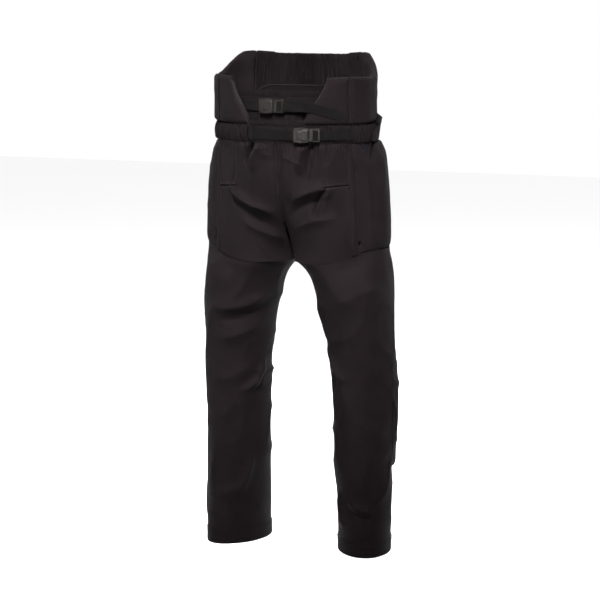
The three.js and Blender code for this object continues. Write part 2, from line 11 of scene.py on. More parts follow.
import bpy
import numpy as np
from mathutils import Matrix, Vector


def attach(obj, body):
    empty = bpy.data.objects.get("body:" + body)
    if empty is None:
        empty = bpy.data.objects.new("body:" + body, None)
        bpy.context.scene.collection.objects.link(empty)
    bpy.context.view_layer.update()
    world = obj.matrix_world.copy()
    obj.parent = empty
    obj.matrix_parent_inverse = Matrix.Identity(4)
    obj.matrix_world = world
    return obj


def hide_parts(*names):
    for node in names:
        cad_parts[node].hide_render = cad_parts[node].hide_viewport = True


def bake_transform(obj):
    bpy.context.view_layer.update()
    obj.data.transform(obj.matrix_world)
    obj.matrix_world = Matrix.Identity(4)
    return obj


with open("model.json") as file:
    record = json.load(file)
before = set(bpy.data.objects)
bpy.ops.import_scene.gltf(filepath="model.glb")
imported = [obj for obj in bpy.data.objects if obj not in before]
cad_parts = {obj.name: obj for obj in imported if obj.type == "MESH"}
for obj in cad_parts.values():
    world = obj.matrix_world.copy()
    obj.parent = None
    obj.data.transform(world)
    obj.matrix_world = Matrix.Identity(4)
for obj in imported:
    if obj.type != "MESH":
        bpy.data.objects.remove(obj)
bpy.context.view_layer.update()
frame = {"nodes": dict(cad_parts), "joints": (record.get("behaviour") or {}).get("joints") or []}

# ---------------------------------------------------------------- The view
# The garment stands on its hems, seen from its front and a little to its left, from chest height.
# A long lens from five metres keeps the upright lines upright.
TURN, RISE, DISTANCE = math.radians(20.9), math.radians(8.94), 5.0
FIELD = 1.405  # width of the view at the garment, in metres
ASIDE, EYE_LEVEL = 0.0109, -0.408  # where the view is aimed: to its own right, and up
away = Vector(
    (
        math.sin(TURN) * math.cos(RISE),
        -math.cos(TURN) * math.cos(RISE),
        math.sin(RISE),
    )
)
look_at = Vector((ASIDE * math.cos(TURN), ASIDE * math.sin(TURN), EYE_LEVEL))
lens = bpy.data.cameras.new("camera")
lens.sensor_width = 36.0
lens.lens = 36.0 * DISTANCE / FIELD
lens.clip_end = 60.0
camera = bpy.data.objects.new("camera", lens)
camera.location = look_at + away * DISTANCE
camera.rotation_euler = away.to_track_quat("Z", "Y").to_euler()
bpy.context.scene.collection.objects.link(camera)
bpy.context.scene.camera = camera

# ---------------------------------------------------------------- Light and floor
# A narrow key lamp on the hips, four wide soft lamps and a pale world round a plain matt floor.
# The key lamp stands in front, a little to the garment's left, and the others open the shadows.
LAMPS = {  # place, height aimed at, width, power, spread in degrees
    "key": ((0.55, -1.8, 1.5), -0.13, 1.0, 38.0, 21.0),
    "fill": ((-3.0, -2.4, 0.9), -0.3, 2.6, 16.0, 180.0),
    "side": ((2.6, -1.6, 1.0), -0.3, 1.6, 5.0, 180.0),
    "back": ((0.6, 2.6, 1.4), -0.4, 1.6, 30.0, 180.0),
    "top": ((-1.2, 0.9, 3.0), -0.3, 2.0, 130.0, 180.0),
}
for lamp_name, (place, aim, width, power, spread) in LAMPS.items():
    lamp_data = bpy.data.lights.new(lamp_name, "AREA")
    lamp_data.size = width
    lamp_data.energy = power
    lamp_data.spread = math.radians(spread)
    lamp = bpy.data.objects.new(lamp_name, lamp_data)
    lamp.location = place
    lamp.rotation_euler = (
        (Vector(place) - Vector((0, 0, aim))).to_track_quat("Z", "Y").to_euler()
    )
    bpy.context.scene.collection.objects.link(lamp)
world = bpy.data.worlds.new("studio")
world.use_nodes = True
sky = world.node_tree.nodes["Background"]
sky.inputs["Color"].default_value = (1.0, 1.0, 1.0, 1.0)
sky.inputs["Strength"].default_value = 1.0
bpy.context.scene.world = world
bpy.context.scene.view_settings.view_transform = "Standard"

floor_mesh = bpy.data.meshes.new("floor")
ends = np.array([-1.0, 1.0]) * 9.0
floor_x, floor_y = np.meshgrid(ends, ends, indexing="ij")
floor_points = np.stack([floor_x, floor_y, np.full_like(floor_x, -1.001)], -1)
floor_mesh.from_pydata(floor_points.reshape(-1, 3).tolist(), [], [(0, 2, 3, 1)])
floor = bpy.data.objects.new("floor", floor_mesh)
bpy.context.scene.collection.objects.link(floor)
floor_paint = bpy.data.materials.new("floor_paint")
floor_paint.use_nodes = True
floor_shader = floor_paint.node_tree.nodes["Principled BSDF"]
floor_shader.inputs["Base Color"].default_value = (0.93, 0.93, 0.93, 1.0)
floor_shader.inputs["Roughness"].default_value = 0.9
floor_mesh.materials.append(floor_paint)

# ---------------------------------------------------------------- Shell cloth
# A close black twill with a faint warm cast, matt and slightly fuzzy.
# It is two cloths thick with its lining, and it is rubbed a little paler in slow patches.


class Signal:
    """A value that varies over a material; its operators and methods add the nodes it needs."""

    def __init__(self, tree, socket):
        self.tree, self.socket = tree, socket

    def _math(self, operation, *others):
        node = self.tree.nodes.new("ShaderNodeMath")
        node.operation = operation
        for place, value in enumerate((self, *others)):
            if isinstance(value, Signal):
                self.tree.links.new(value.socket, node.inputs[place])
            else:
                node.inputs[place].default_value = value
        return Signal(self.tree, node.outputs[0])

    def __add__(self, other):
        return self._math("ADD", other)

    def __sub__(self, other):
        return self._math("SUBTRACT", other)

    def __mul__(self, other):
        return self._math("MULTIPLY", other)

    def sine(self):
        return self._math("SINE")

    def size(self):
        return self._math("ABSOLUTE")

    def part(self):
        return self._math("FRACT")

    def step(self, low, high):
        """0 below low, 1 above high, and a smooth curve between them."""
        node = self.tree.nodes.new("ShaderNodeMapRange")
        node.interpolation_type = "SMOOTHSTEP"
        self.tree.links.new(self.socket, node.inputs["Value"])
        node.inputs["From Min"].default_value = low
        node.inputs["From Max"].default_value = high
        return Signal(self.tree, node.outputs["Result"])


class Finish:
    """A Principled material with the coordinates and textures that the garment's finishes share."""

    def __init__(self, name):
        self.material = bpy.data.materials.new(name)
        self.material.use_nodes = True
        self.tree = self.material.node_tree
        self.shader = self.tree.nodes["Principled BSDF"]
        self.where = self.tree.nodes.new("ShaderNodeTexCoord")

    def across(self):
        """The flat coordinates of a point, as separate signals."""
        node = self.tree.nodes.new("ShaderNodeSeparateXYZ")
        self.tree.links.new(self.where.outputs["UV"], node.inputs[0])
        return [Signal(self.tree, out) for out in node.outputs]

    def cloud(self, scale, detail, stretch=(1.0, 1.0, 1.0)):
        """Smooth noise from 0 to 1 with that many cells to the metre, drawn out by stretch."""
        sized = self.tree.nodes.new("ShaderNodeMapping")
        sized.inputs["Scale"].default_value = stretch
        self.tree.links.new(self.where.outputs["Object"], sized.inputs["Vector"])
        node = self.tree.nodes.new("ShaderNodeTexNoise")
        node.inputs["Scale"].default_value = scale
        node.inputs["Detail"].default_value = detail
        self.tree.links.new(sized.outputs[0], node.inputs["Vector"])
        return Signal(self.tree, node.outputs["Fac"])

    def colour(self, signal, dark, light):
        """Base colour: dark where the signal is 0, light where it is 1."""
        node = self.tree.nodes.new("ShaderNodeMix")
        node.data_type = "RGBA"
        self.tree.links.new(signal.socket, node.inputs["Factor"])
        node.inputs[6].default_value = (*dark, 1.0)
        node.inputs[7].default_value = (*light, 1.0)
        self.tree.links.new(node.outputs[2], self.shader.inputs["Base Color"])

    def rough(self, signal):
        self.tree.links.new(signal.socket, self.shader.inputs["Roughness"])

    def bump(self, signal, height):
        """Relief of that height in metres where the signal is 1."""
        node = self.tree.nodes.new("ShaderNodeBump")
        node.inputs["Strength"].default_value = 1.0
        node.inputs["Distance"].default_value = height
        self.tree.links.new(signal.socket, node.inputs["Height"])
        self.tree.links.new(node.outputs[0], self.shader.inputs["Normal"])

    def set(self, **values):
        for socket, value in values.items():
            self.shader.inputs[socket.replace("_", " ")].default_value = value
        return self.material


def woven(name, dark, light, thread, fuzz):
    """Twill: diagonal ribs a thread wide, broken along their length, with slow patches of shade.

    The ribs follow u + v of the mesh's own flat coordinates, which are metres of cloth.
    """
    finish = Finish(name)
    u, v, _ = finish.across()
    rib = ((u + v) * (math.tau / thread)).sine()
    break_up = ((u - v) * (math.tau / (thread * 2.6))).sine()
    patches = finish.cloud(26.0, 4.0)
    slub = finish.cloud(420.0, 2.0, (1.0, 1.0, 0.25))
    weave = rib * 0.5 + break_up * 0.3
    shade = patches.step(0.25, 0.8) * 0.3 + (weave * 0.16 + 0.26) + slub.step(0.35, 0.8) * 0.25
    finish.colour(shade, dark, light)
    finish.rough(patches * 0.10 + 0.62)
    finish.bump(weave + slub * 0.9, 0.00016)
    return finish.set(
        Specular_IOR_Level=0.015,
        Sheen_Weight=fuzz,
        Sheen_Roughness=0.45,
        Sheen_Tint=(0.95, 0.9, 0.95, 1.0),
    )


shell_cloth = woven(
    "shell_cloth", (0.0011, 0.0007, 0.0009), (0.0033, 0.0023, 0.0026), 0.0013, 0.004
)

# ---------------------------------------------------------------- Front and back panels
# The front and back hang from the waistband to the crotch, cut from the shell cloth.
# Their side edges are sewn down against the hip pads, and they drape in folds below the belt.
TORSO = np.array(
    [  # height, half width, half depth, distance of the middle behind the origin
        (0.690, 0.208, 0.128, 0.020),
        (0.745, 0.208, 0.136, 0.018),
        (0.850, 0.204, 0.137, 0.015),
        (0.930, 0.199, 0.133, 0.010),
        (0.969, 0.193, 0.131, 0.004),
        (1.008, 0.191, 0.131, 0.002),
        (1.010, 0.192, 0.134, 0.000),
        (1.120, 0.192, 0.134, 0.000),
        (1.180, 0.186, 0.130, 0.002),
    ]
)
CLOTH = 0.0026  # thickness of the cloth and its lining
SUNK = 0.0006  # how far the cloth lies inside the body's surface
PELVIS_TOP = 0.9686
HIP_FRONT, HIP_BACK = 52.5, 127.5
RISE_BOTTOM, LEG_LINE = 0.690, 0.724
TUCK = 1.0  # seam allowance of the panels under the hip pads, in degrees


def ease(value, low, high):
    """0 below low, 1 above high, and 3t^2 - 2t^3 between them."""
    t = np.clip((value - low) / (high - low), 0.0, 1.0)
    return t * t * (3.0 - 2.0 * t)


def on_torso(degrees, height, out=0.0):
    """A point of the ellipse at that height, moved out along the ellipse's own normal."""
    degrees, height = np.broadcast_arrays(degrees, height)
    half_width, half_depth, back = (
        np.interp(height, TORSO[:, 0], TORSO[:, column]) for column in (1, 2, 3)
    )
    turn = np.radians(degrees)
    normal = np.stack([np.sin(turn) / half_width, -np.cos(turn) / half_depth], -1)
    normal /= np.linalg.norm(normal, axis=-1, keepdims=True)
    x = half_width * np.sin(turn) + normal[..., 0] * out
    y = back - half_depth * np.cos(turn) + normal[..., 1] * out
    return np.stack([x, y, height - 1.0], -1)


def noise(points, cell, seed=0):
    """Smooth noise from -1 to 1: a hashed value at each corner of a cell, blended across it."""
    place = np.asarray(points) / cell
    corner = np.floor(place).astype(np.int64)
    part = place - corner
    part = part * part * (3.0 - 2.0 * part)
    total = 0.0
    for step in np.ndindex(2, 2, 2):
        key = corner + step
        mixed = (
            key[..., 0] * 374761393
            + key[..., 1] * 668265263
            + key[..., 2] * 1274126177
            + seed * 974711
        ) & 0x7FFFFFFF
        mixed = ((mixed ^ (mixed >> 13)) * 1274126177) & 0x7FFFFFFF
        value = ((mixed ^ (mixed >> 16)) & 0xFFFF) / 32767.5 - 1.0
        total = total + value * np.prod(np.where(step, part, 1.0 - part), -1)
    return total


def creases(points, cell, seed=0):
    """Cloth creases from 0 to 1: sharp where noise crosses zero, its points first pushed about."""
    push = np.stack(
        [noise(points, cell * 1.7, seed + 11 + axis) for axis in range(3)], -1
    )
    return (1.0 - np.abs(noise(points + push * cell * 0.55, cell, seed))) ** 3


def folds(along, height, lines, bend=0.08, reach=0.3):
    """The sum of folds: each is a peaked curve across its line that fades towards both ends.

    A line is (along, height) of one end, the same of the other, its width and how far it stands
    out. Bend bows the lines, and reach is the share of their length over which they fade.
    """
    total = np.zeros(np.broadcast(along, height).shape)
    for a0, h0, a1, h1, width, rise in lines:
        run = np.array([a1 - a0, h1 - h0])
        length = np.hypot(*run)
        run = run / length
        t = ((along - a0) * run[0] + (height - h0) * run[1]) / length
        off = (along - a0) * run[1] - (height - h0) * run[0]
        bow = off - bend * length * np.sin(np.pi * np.clip(t, 0, 1))
        fade = ease(t, -0.12, reach) * ease(1.0 - t, -0.12, reach)
        total = total + rise * fade * np.exp(-np.abs(bow / width) ** 1.5)
    return total


def face_normals(grid):
    """Unit normals of a grid of points, from the cross product of its two directions."""
    first, second = np.gradient(grid, axis=0), np.gradient(grid, axis=1)
    normal = np.cross(first, second)
    return normal / np.maximum(np.linalg.norm(normal, axis=-1, keepdims=True), 1e-12)


def mesh_object(name, points, quads, material, flat=None):
    """An object from points and quads, smooth but for edges over 50 degrees, with flat metres."""
    mesh = bpy.data.meshes.new(name)
    mesh.from_pydata(points.tolist(), [], quads.tolist())
    if flat is not None:
        corners = np.empty(len(mesh.loops), np.int32)
        mesh.loops.foreach_get("vertex_index", corners)
        mesh.uv_layers.new(name="flat").data.foreach_set(
            "uv", flat[corners].astype(np.float32).ravel()
        )
    mesh.shade_smooth()
    mesh.set_sharp_from_angle(angle=math.radians(50))
    mesh.materials.append(material)
    made = bpy.data.objects.new(name, mesh)
    bpy.context.scene.collection.objects.link(made)
    return made


def shell(name, outer, inner, material, ring=False):
    """A closed sheet between two grids of points; a ring joins its last column to its first."""
    columns, rows = outer.shape[:2]
    points = np.concatenate([outer.reshape(-1, 3), inner.reshape(-1, 3)])
    index = np.arange(columns * rows).reshape(columns, rows)
    nearer = np.roll(index, -1, 0) if ring else index[1:]
    start = index if ring else index[:-1]
    wall = np.stack(
        [start[:, :-1], nearer[:, :-1], nearer[:, 1:], start[:, 1:]], -1
    ).reshape(-1, 4)
    back = columns * rows
    quads = [wall, wall[:, ::-1] + back]
    low = np.stack([nearer[:, 0], start[:, 0], start[:, 0] + back, nearer[:, 0] + back])
    high = np.stack(
        [start[:, -1], nearer[:, -1], nearer[:, -1] + back, start[:, -1] + back]
    )
    quads += [low.T, high.T]
    if not ring:
        first = np.stack(
            [index[0, :-1], index[0, 1:], index[0, 1:] + back, index[0, :-1] + back]
        )
        last = np.stack(
            [
                index[-1, 1:],
                index[-1, :-1],
                index[-1, :-1] + back,
                index[-1, 1:] + back,
            ]
        )
        quads += [first.T, last.T]
    widths = np.linalg.norm(np.diff(outer, axis=0), axis=-1).mean(1)
    u = np.concatenate([[0.0], np.cumsum(widths)])[:, None] + np.zeros((1, rows))
    v = outer[..., 2]
    flat = np.tile(np.stack([u, v], -1).reshape(-1, 2), (2, 1))
    return mesh_object(name, points, np.concatenate(quads), material, flat)


def cloth_sheet(name, grid, thick, material, ring=False):
    """A sheet of that thickness whose outer face is the grid."""
    source = np.concatenate([grid[-1:], grid, grid[:1]]) if ring else grid
    normal = face_normals(source)
    normal = normal[1:-1] if ring else normal
    return shell(name, grid, grid - normal * thick, material, ring)


FRONT_VALLEY = np.array(  # height, how far the middle seam has sunk back between the legs
    [(0.690, 1.0), (0.726, 0.68), (0.780, 0.35), (0.832, 0.12), (0.885, 0.0)]
)
BACK_VALLEY = np.array(
    [(0.690, 1.0), (0.712, 0.60), (0.750, 0.27), (0.800, 0.08), (0.850, 0.0)]
)
GROIN = (0.111, 0.020, 0.1095, 0.116)  # middle, back, half width and depth of a leg


def pad_swell(degrees, height):
    """How far the hip pad stands off the trunk: eased off at its front, boxy at the rear."""
    away = np.abs((degrees + 180.0) % 360.0 - 180.0)
    u = (away - HIP_FRONT) / (HIP_BACK - HIP_FRONT)
    v = (height - LEG_LINE) / (PELVIS_TOP - LEG_LINE)
    across = ease(u, -0.02, 0.42) * ease(1 - u, -0.02, 0.22)
    rear = ease(u, 0.30, 0.75)
    top = ease(1 - v, -0.22 * rear, 0.12 + 0.40 * (1 - rear))
    return 0.0155 * across * ease(v, -0.50, 0.15) * top


def leg_line(degrees):
    """Height of the seam between trunk and leg: low at the crotch and higher over the hip."""
    rise = ease(np.abs(np.sin(np.radians(degrees))), 0.5, 1.0)
    return RISE_BOTTOM + (LEG_LINE - RISE_BOTTOM) * rise


def valley(height, table):
    """The table's share at a height; above the groin, nearby heights are averaged to round it."""
    shifts = (-0.030, -0.015, 0.0, 0.015, 0.030)
    rounded = np.mean(
        [np.interp(height + shift, table[:, 0], table[:, 1]) for shift in shifts], 0
    )
    exact = np.interp(height, table[:, 0], table[:, 1])
    return exact + (rounded - exact) * ease(height, 0.735, 0.80)


def on_trunk(degrees, height, out=0.0):
    """The torso's ellipse, drawn in near the middle seams to the legs' ellipses lower down.

    An angle t of the torso goes to the angle 2t - 90 of the leg on its own side.
    """
    degrees, height = np.broadcast_arrays(degrees, height)
    signed = (degrees + 180.0) % 360.0 - 180.0
    side, away = np.where(signed < 0, -1.0, 1.0), np.abs(signed)
    front, rear = valley(height, FRONT_VALLEY), valley(height, BACK_VALLEY)
    near_front = 1.0 - ease(away, 26.0, 50.0)
    near_back = 1.0 - ease(180.0 - away, 26.0, 50.0)
    share = front * near_front + rear * near_back
    own = np.radians(2.0 * away - 90.0)
    middle, back, half_width, half_depth = GROIN
    normal = np.stack([side * np.sin(own), -np.cos(own)], -1)
    leg_x = side * (middle + half_width * np.sin(own)) + normal[..., 0] * out
    leg_y = back - half_depth * np.cos(own) + normal[..., 1] * out
    leg = np.stack([leg_x, leg_y, height - 1.0], -1)
    torso = on_torso(degrees, height, out)
    return torso + (leg - torso) * share[..., None]


TRUNK_RADIUS = 0.165
TRUNK_DEPTH = 2.0  # how much deeper the folds are than their lines say
FRONT_SEAMS = [  # as the folds: a narrow valley, and beside the yoke seams a low ridge
    (0.094, 0.869, 0.160, 0.874, 0.0016, -0.0030),
    (0.094, 0.873, 0.160, 0.878, 0.0024, 0.0016),
    (-0.094, 0.867, -0.160, 0.861, 0.0016, -0.0030),
    (-0.094, 0.871, -0.160, 0.865, 0.0024, 0.0016),
    (0.0915, 0.985, 0.0965, 0.862, 0.0016, -0.0022),
    (-0.0930, 0.985, -0.0975, 0.862, 0.0016, -0.0022),
    (0.0820, 0.990, 0.0630, 0.893, 0.0020, -0.0036),
    (-0.0420, 0.990, -0.0660, 0.920, 0.0020, -0.0036),
    (0.0150, 0.990, 0.0090, 0.880, 0.0013, -0.0034),
    (0.0090, 0.878, 0.0040, 0.800, 0.0013, -0.0034),
]
FRONT_FOLDS = [  # along the cloth from the fly, height: the V of drape from each hip to the fly
    (-0.112, 0.868, -0.012, 0.806, 0.013, 0.0062),
    (-0.105, 0.835, -0.020, 0.770, 0.016, -0.0035),
    (-0.090, 0.790, -0.006, 0.742, 0.014, 0.0050),
    (0.110, 0.870, 0.030, 0.836, 0.012, 0.0060),
    (0.100, 0.842, 0.022, 0.800, 0.014, -0.0040),
    (0.120, 0.800, 0.035, 0.765, 0.014, 0.0042),
    (-0.044, 0.972, -0.066, 0.915, 0.0055, -0.0060),
    (-0.028, 0.972, -0.048, 0.905, 0.008, 0.0048),
    (0.078, 0.974, 0.062, 0.890, 0.0065, -0.0058),
    (0.060, 0.972, 0.046, 0.900, 0.009, 0.0045),
    (0.098, 0.868, 0.080, 0.800, 0.0055, -0.0050),
    (0.108, 0.870, 0.094, 0.805, 0.008, 0.0036),
    (-0.096, 0.905, -0.098, 0.815, 0.0045, -0.0030),
]
BACK_FOLDS = [
    (-0.100, 0.900, 0.000, 0.840, 0.018, 0.0060),
    (0.100, 0.895, 0.005, 0.835, 0.018, 0.0055),
    (-0.110, 0.820, -0.010, 0.770, 0.020, 0.0065),
    (0.110, 0.825, 0.010, 0.768, 0.020, 0.0060),
    (-0.060, 0.960, -0.075, 0.900, 0.008, -0.0045),
    (0.060, 0.960, 0.078, 0.895, 0.008, -0.0045),
]


def trunk_relief(degrees, height, first, last, lines, middle, seed):
    """How far a panel stands out: its folds and creases, less near its sewn side edges."""
    along = np.radians(degrees - middle) * TRUNK_RADIUS
    edge = np.minimum(degrees - first, last - degrees) * math.radians(TRUNK_RADIUS)
    free = ease(edge, 0.0, 0.02) * ease(PELVIS_TOP - height, 0.0, 0.012)
    place = np.stack([along, height * 0.8, np.zeros_like(along)], -1)
    soft = noise(place, 0.075, seed) * 0.0034 + creases(place, 0.06, seed + 3) * 0.0040
    hem = -0.0022 * np.exp(-((edge / 0.0028) ** 2))
    if lines is FRONT_FOLDS:
        hem = hem + folds(along, height, FRONT_SEAMS, 0.0, -0.04)
    pull = 0.0014 * np.sin(along * 900.0 + 2.0 * noise(place, 0.02, seed + 5))
    at_top = pull * (1.0 - ease(PELVIS_TOP - height, 0.0, 0.035))
    return (folds(along, height, lines) * TRUNK_DEPTH + soft) * free + hem + at_top


def trunk_panel(name, first, last, lines, middle, seed):
    """The trunk's surface between two angles, from the leg line to the waistband, with relief."""
    degrees = np.linspace(first, last, 150)[:, None]
    share = np.linspace(0.0, 1.0, 200)[None, :]
    low = leg_line(degrees)
    height = low + (PELVIS_TOP - low) * share
    degrees = degrees + np.zeros_like(height)
    relief = trunk_relief(degrees, height, first, last, lines, middle, seed)
    panel = cloth_sheet(
        name, on_trunk(degrees, height, relief - SUNK), CLOTH, shell_cloth
    )
    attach(panel, "trousers")
    return panel


for panel_name, first, last, lines, middle, seed in (
    ("front_panel_left", 0.3, HIP_FRONT + TUCK, FRONT_FOLDS, 0.0, 2),
    ("front_panel_right", -HIP_FRONT - TUCK, -0.3, FRONT_FOLDS, 0.0, 2),
    ("back_panel_left", HIP_BACK - TUCK, 179.7, BACK_FOLDS, 180.0, 7),
    ("back_panel_right", 180.3, 360 - HIP_BACK + TUCK, BACK_FOLDS, 180.0, 7),
):
    made = trunk_panel(
        panel_name.replace("panel", "trunk"), first, last, lines, middle, seed
    )
    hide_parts(panel_name)

# ---------------------------------------------------------------- Legs
# Each leg is a wide tube of shell cloth, sewn to the trunk along the groin and over the hip.
# It has long diagonal folds from the crotch, breaks at the knee and a slack fold above the hem.
LEG = np.array(
    [  # height, middle, distance behind the origin, half width and depth, turn in degrees
        (0.000, 0.160, 0.040, 0.063, 0.094, 20.0),
        (0.150, 0.160, 0.038, 0.065, 0.090, 19.0),
        (0.300, 0.160, 0.035, 0.071, 0.084, 15.0),
        (0.420, 0.158, 0.032, 0.074, 0.084, 11.0),
        (0.490, 0.153, 0.030, 0.077, 0.088, 8.0),
        (0.570, 0.145, 0.026, 0.085, 0.098, 5.0),
        (0.643, 0.134, 0.023, 0.093, 0.108, 2.0),
        (0.690, 0.121, 0.020, 0.101, 0.116, 0.0),
    ]
)
LEG_RADIUS, LEG_DEPTH = 0.082, 1.7  # for the folds: the leg's size, how much deeper they are
THIGH_TOP, LEG_SEAM, HEM_TOP = 0.640, 0.560, 0.0354


def on_leg(side, degrees, height, out=0.0):
    """A point of the leg's turned ellipse, averaged over 4 cm of height and moved out by out."""
    degrees, height = np.broadcast_arrays(degrees, height)
    shifts = (-0.02, -0.01, 0.0, 0.01, 0.02)
    middle, back, half_width, half_depth, turned = (
        sum(np.interp(height + d, LEG[:, 0], LEG[:, column]) for d in shifts) / 5
        for column in range(1, 6)
    )
    turn = np.radians(degrees)
    normal = np.stack([np.sin(turn) / half_width, -np.cos(turn) / half_depth], -1)
    normal /= np.linalg.norm(normal, axis=-1, keepdims=True)
    dx = half_width * np.sin(turn) + normal[..., 0] * out
    dy = -half_depth * np.cos(turn) + normal[..., 1] * out
    lean = np.radians(turned)
    x = side * (middle + dx * np.cos(lean) - dy * np.sin(lean))
    y = back + dx * np.sin(lean) + dy * np.cos(lean)
    return np.stack([x, y, height - 1.0], -1)


LEG_FOLDS = {  # along the cloth from the front of the leg (outer side positive), height
    -1: [
        (-0.105, 0.615, 0.030, 0.575, 0.014, 0.0055),
        (-0.100, 0.580, 0.015, 0.545, 0.015, -0.0040),
        (-0.105, 0.545, 0.020, 0.500, 0.016, 0.0042),
        (-0.120, 0.450, -0.085, 0.380, 0.009, 0.0055),
        (-0.110, 0.405, -0.060, 0.372, 0.009, 0.0045),
        (-0.090, 0.440, 0.020, 0.400, 0.018, 0.0032),
        (-0.100, 0.225, -0.060, 0.110, 0.010, 0.0050),
        (-0.085, 0.150, 0.030, 0.115, 0.013, 0.0042),
        (-0.040, 0.330, 0.060, 0.290, 0.018, 0.0030),
        (0.000, 0.300, 0.020, 0.140, 0.017, 0.0030),
    ],
    1: [
        (0.090, 0.640, -0.020, 0.590, 0.017, 0.0040),
        (-0.070, 0.620, -0.050, 0.480, 0.012, 0.0040),
        (-0.078, 0.500, -0.052, 0.430, 0.009, 0.0058),
        (-0.085, 0.455, -0.030, 0.415, 0.010, 0.0045),
        (0.060, 0.640, 0.045, 0.480, 0.020, 0.0036),
        (-0.045, 0.128, 0.025, 0.112, 0.009, 0.0060),
        (-0.050, 0.108, 0.030, 0.092, 0.009, -0.0035),
        (-0.090, 0.150, -0.075, 0.060, 0.010, 0.0048),
        (-0.020, 0.330, 0.070, 0.290, 0.018, 0.0030),
        (0.010, 0.260, 0.018, 0.130, 0.016, 0.0030),
    ],
}


def leg_relief(side, degrees, height):
    """Folds and creases of a leg, which calm towards the hem, where the band holds the cloth."""
    centred = (degrees + 180.0) % 360.0 - 180.0
    along = np.radians(centred) * LEG_RADIUS
    turn = np.radians(degrees)
    round_place = np.stack(
        [
            np.sin(turn) * LEG_RADIUS + side * 0.5,
            np.cos(turn) * LEG_RADIUS,
            height * 0.75,
        ],
        -1,
    )
    soft = noise(round_place, 0.085, 21) * 0.0036
    soft = soft + creases(round_place, 0.07, 25) * 0.0042
    knee = np.exp(-(((height - 0.42) / 0.07) ** 2)) * ease(np.cos(turn), 0.6, -0.6)
    breaks = creases(round_place * (1, 1, 1.8), 0.045, 31) * 0.0045 * knee
    calm = ease(height, HEM_TOP, HEM_TOP + 0.05)
    bends = folds(along, height, LEG_FOLDS[side]) * LEG_DEPTH
    return (bends + soft + breaks) * calm - 0.001


def upper_leg(side, word):
    """Hermite curves from the trunk's seam down to the thigh, then the leg's own surface."""
    degrees = (np.arange(132) / 132.0 * 360.0)[:, None]
    centred = (degrees + 90.0) % 360.0 - 90.0
    around = np.clip((centred + 90.0) / 2.0, 0.2, 179.8)
    swell = pad_swell(around, leg_line(around))
    top = on_trunk(around, leg_line(around) - 0.0007, swell - SUNK)
    top[..., 0] = np.maximum(top[..., 0], 0.0012)
    t = np.linspace(0.0, 1.0, 34)[None, :, None]
    low = on_leg(1, degrees, THIGH_TOP)
    inward = ease(-np.sin(np.radians(degrees)), 0.0, 0.5)[..., None]
    drop = np.linalg.norm(top - low, axis=-1, keepdims=True)
    slanting, straight = np.array([0.75, 0.0, -0.55]), np.array([0.0, 0.0, -1.0])
    leave = drop * (slanting * inward) + drop * (1 - inward) * straight
    arrive = (on_leg(1, degrees, THIGH_TOP - 0.01) - low) * drop / 0.01
    hip = (
        (2 * t**3 - 3 * t**2 + 1) * top
        + (t**3 - 2 * t**2 + t) * leave
        + (3 * t**2 - 2 * t**3) * low
        + (t**3 - t**2) * arrive
    )
    height = np.linspace(THIGH_TOP, LEG_SEAM, 22)[None, 1:]
    thigh = on_leg(1, degrees + np.zeros_like(height), height)
    grid = np.concatenate([hip, thigh], 1)[:, ::-1]
    normal = face_normals(np.concatenate([grid[-1:], grid, grid[:1]]))[1:-1]
    level = grid[..., 2] + 1.0
    sewn = ease(np.linspace(0, 1, grid.shape[1]), 1.0, 0.72)[None, :]
    grid = grid + normal * (
        leg_relief(side, degrees + np.zeros_like(level), level) * sewn - SUNK * (1 - sewn)
    )[..., None]
    grid[..., 0] = np.maximum(grid[..., 0], 0.0010)
    if side < 0:
        grid = grid[::-1] * (-1.0, 1.0, 1.0)
    made = cloth_sheet("upper_leg_" + word, grid, CLOTH, shell_cloth, ring=True)
    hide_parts("hip_fold_" + word, "thigh_front_" + word, "thigh_back_" + word)
    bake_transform(made)


def lower_leg(side, word):
    """The leg's surface from the upper piece's edge to the hem band."""
    degrees = (np.arange(132) / 132.0 * 360.0)[::side, None]
    height = np.linspace(HEM_TOP - 0.004, LEG_SEAM, 137)[None, :]
    degrees, height = np.broadcast_arrays(degrees, height)
    relief = leg_relief(side, degrees, height)
    grid = on_leg(side, degrees, height, relief)
    made = cloth_sheet("lower_leg_" + word, grid, CLOTH, shell_cloth, ring=True)
    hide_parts("knee_fold_" + word, "shin_front_" + word, "shin_back_" + word)
    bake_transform(made)


for side, word in ((1, "left"), (-1, "right")):
    upper_leg(side, word)
    lower_leg(side, word)

# ---------------------------------------------------------------- Hem bands and side flaps
# Each leg ends in a turned-up band of its own cloth, held by two rows of stitching.
# A flat padded flap is sewn over the back of each knee's outer side, its lower edge free.
sewing_thread = woven(
    "sewing_thread", (0.0030, 0.0022, 0.0026), (0.0080, 0.0064, 0.0070), 0.0006, 0.0
)
THREAD, STITCH, GAP = 0.0005, 0.0026, 0.0010  # radius, length of a stitch and space after it


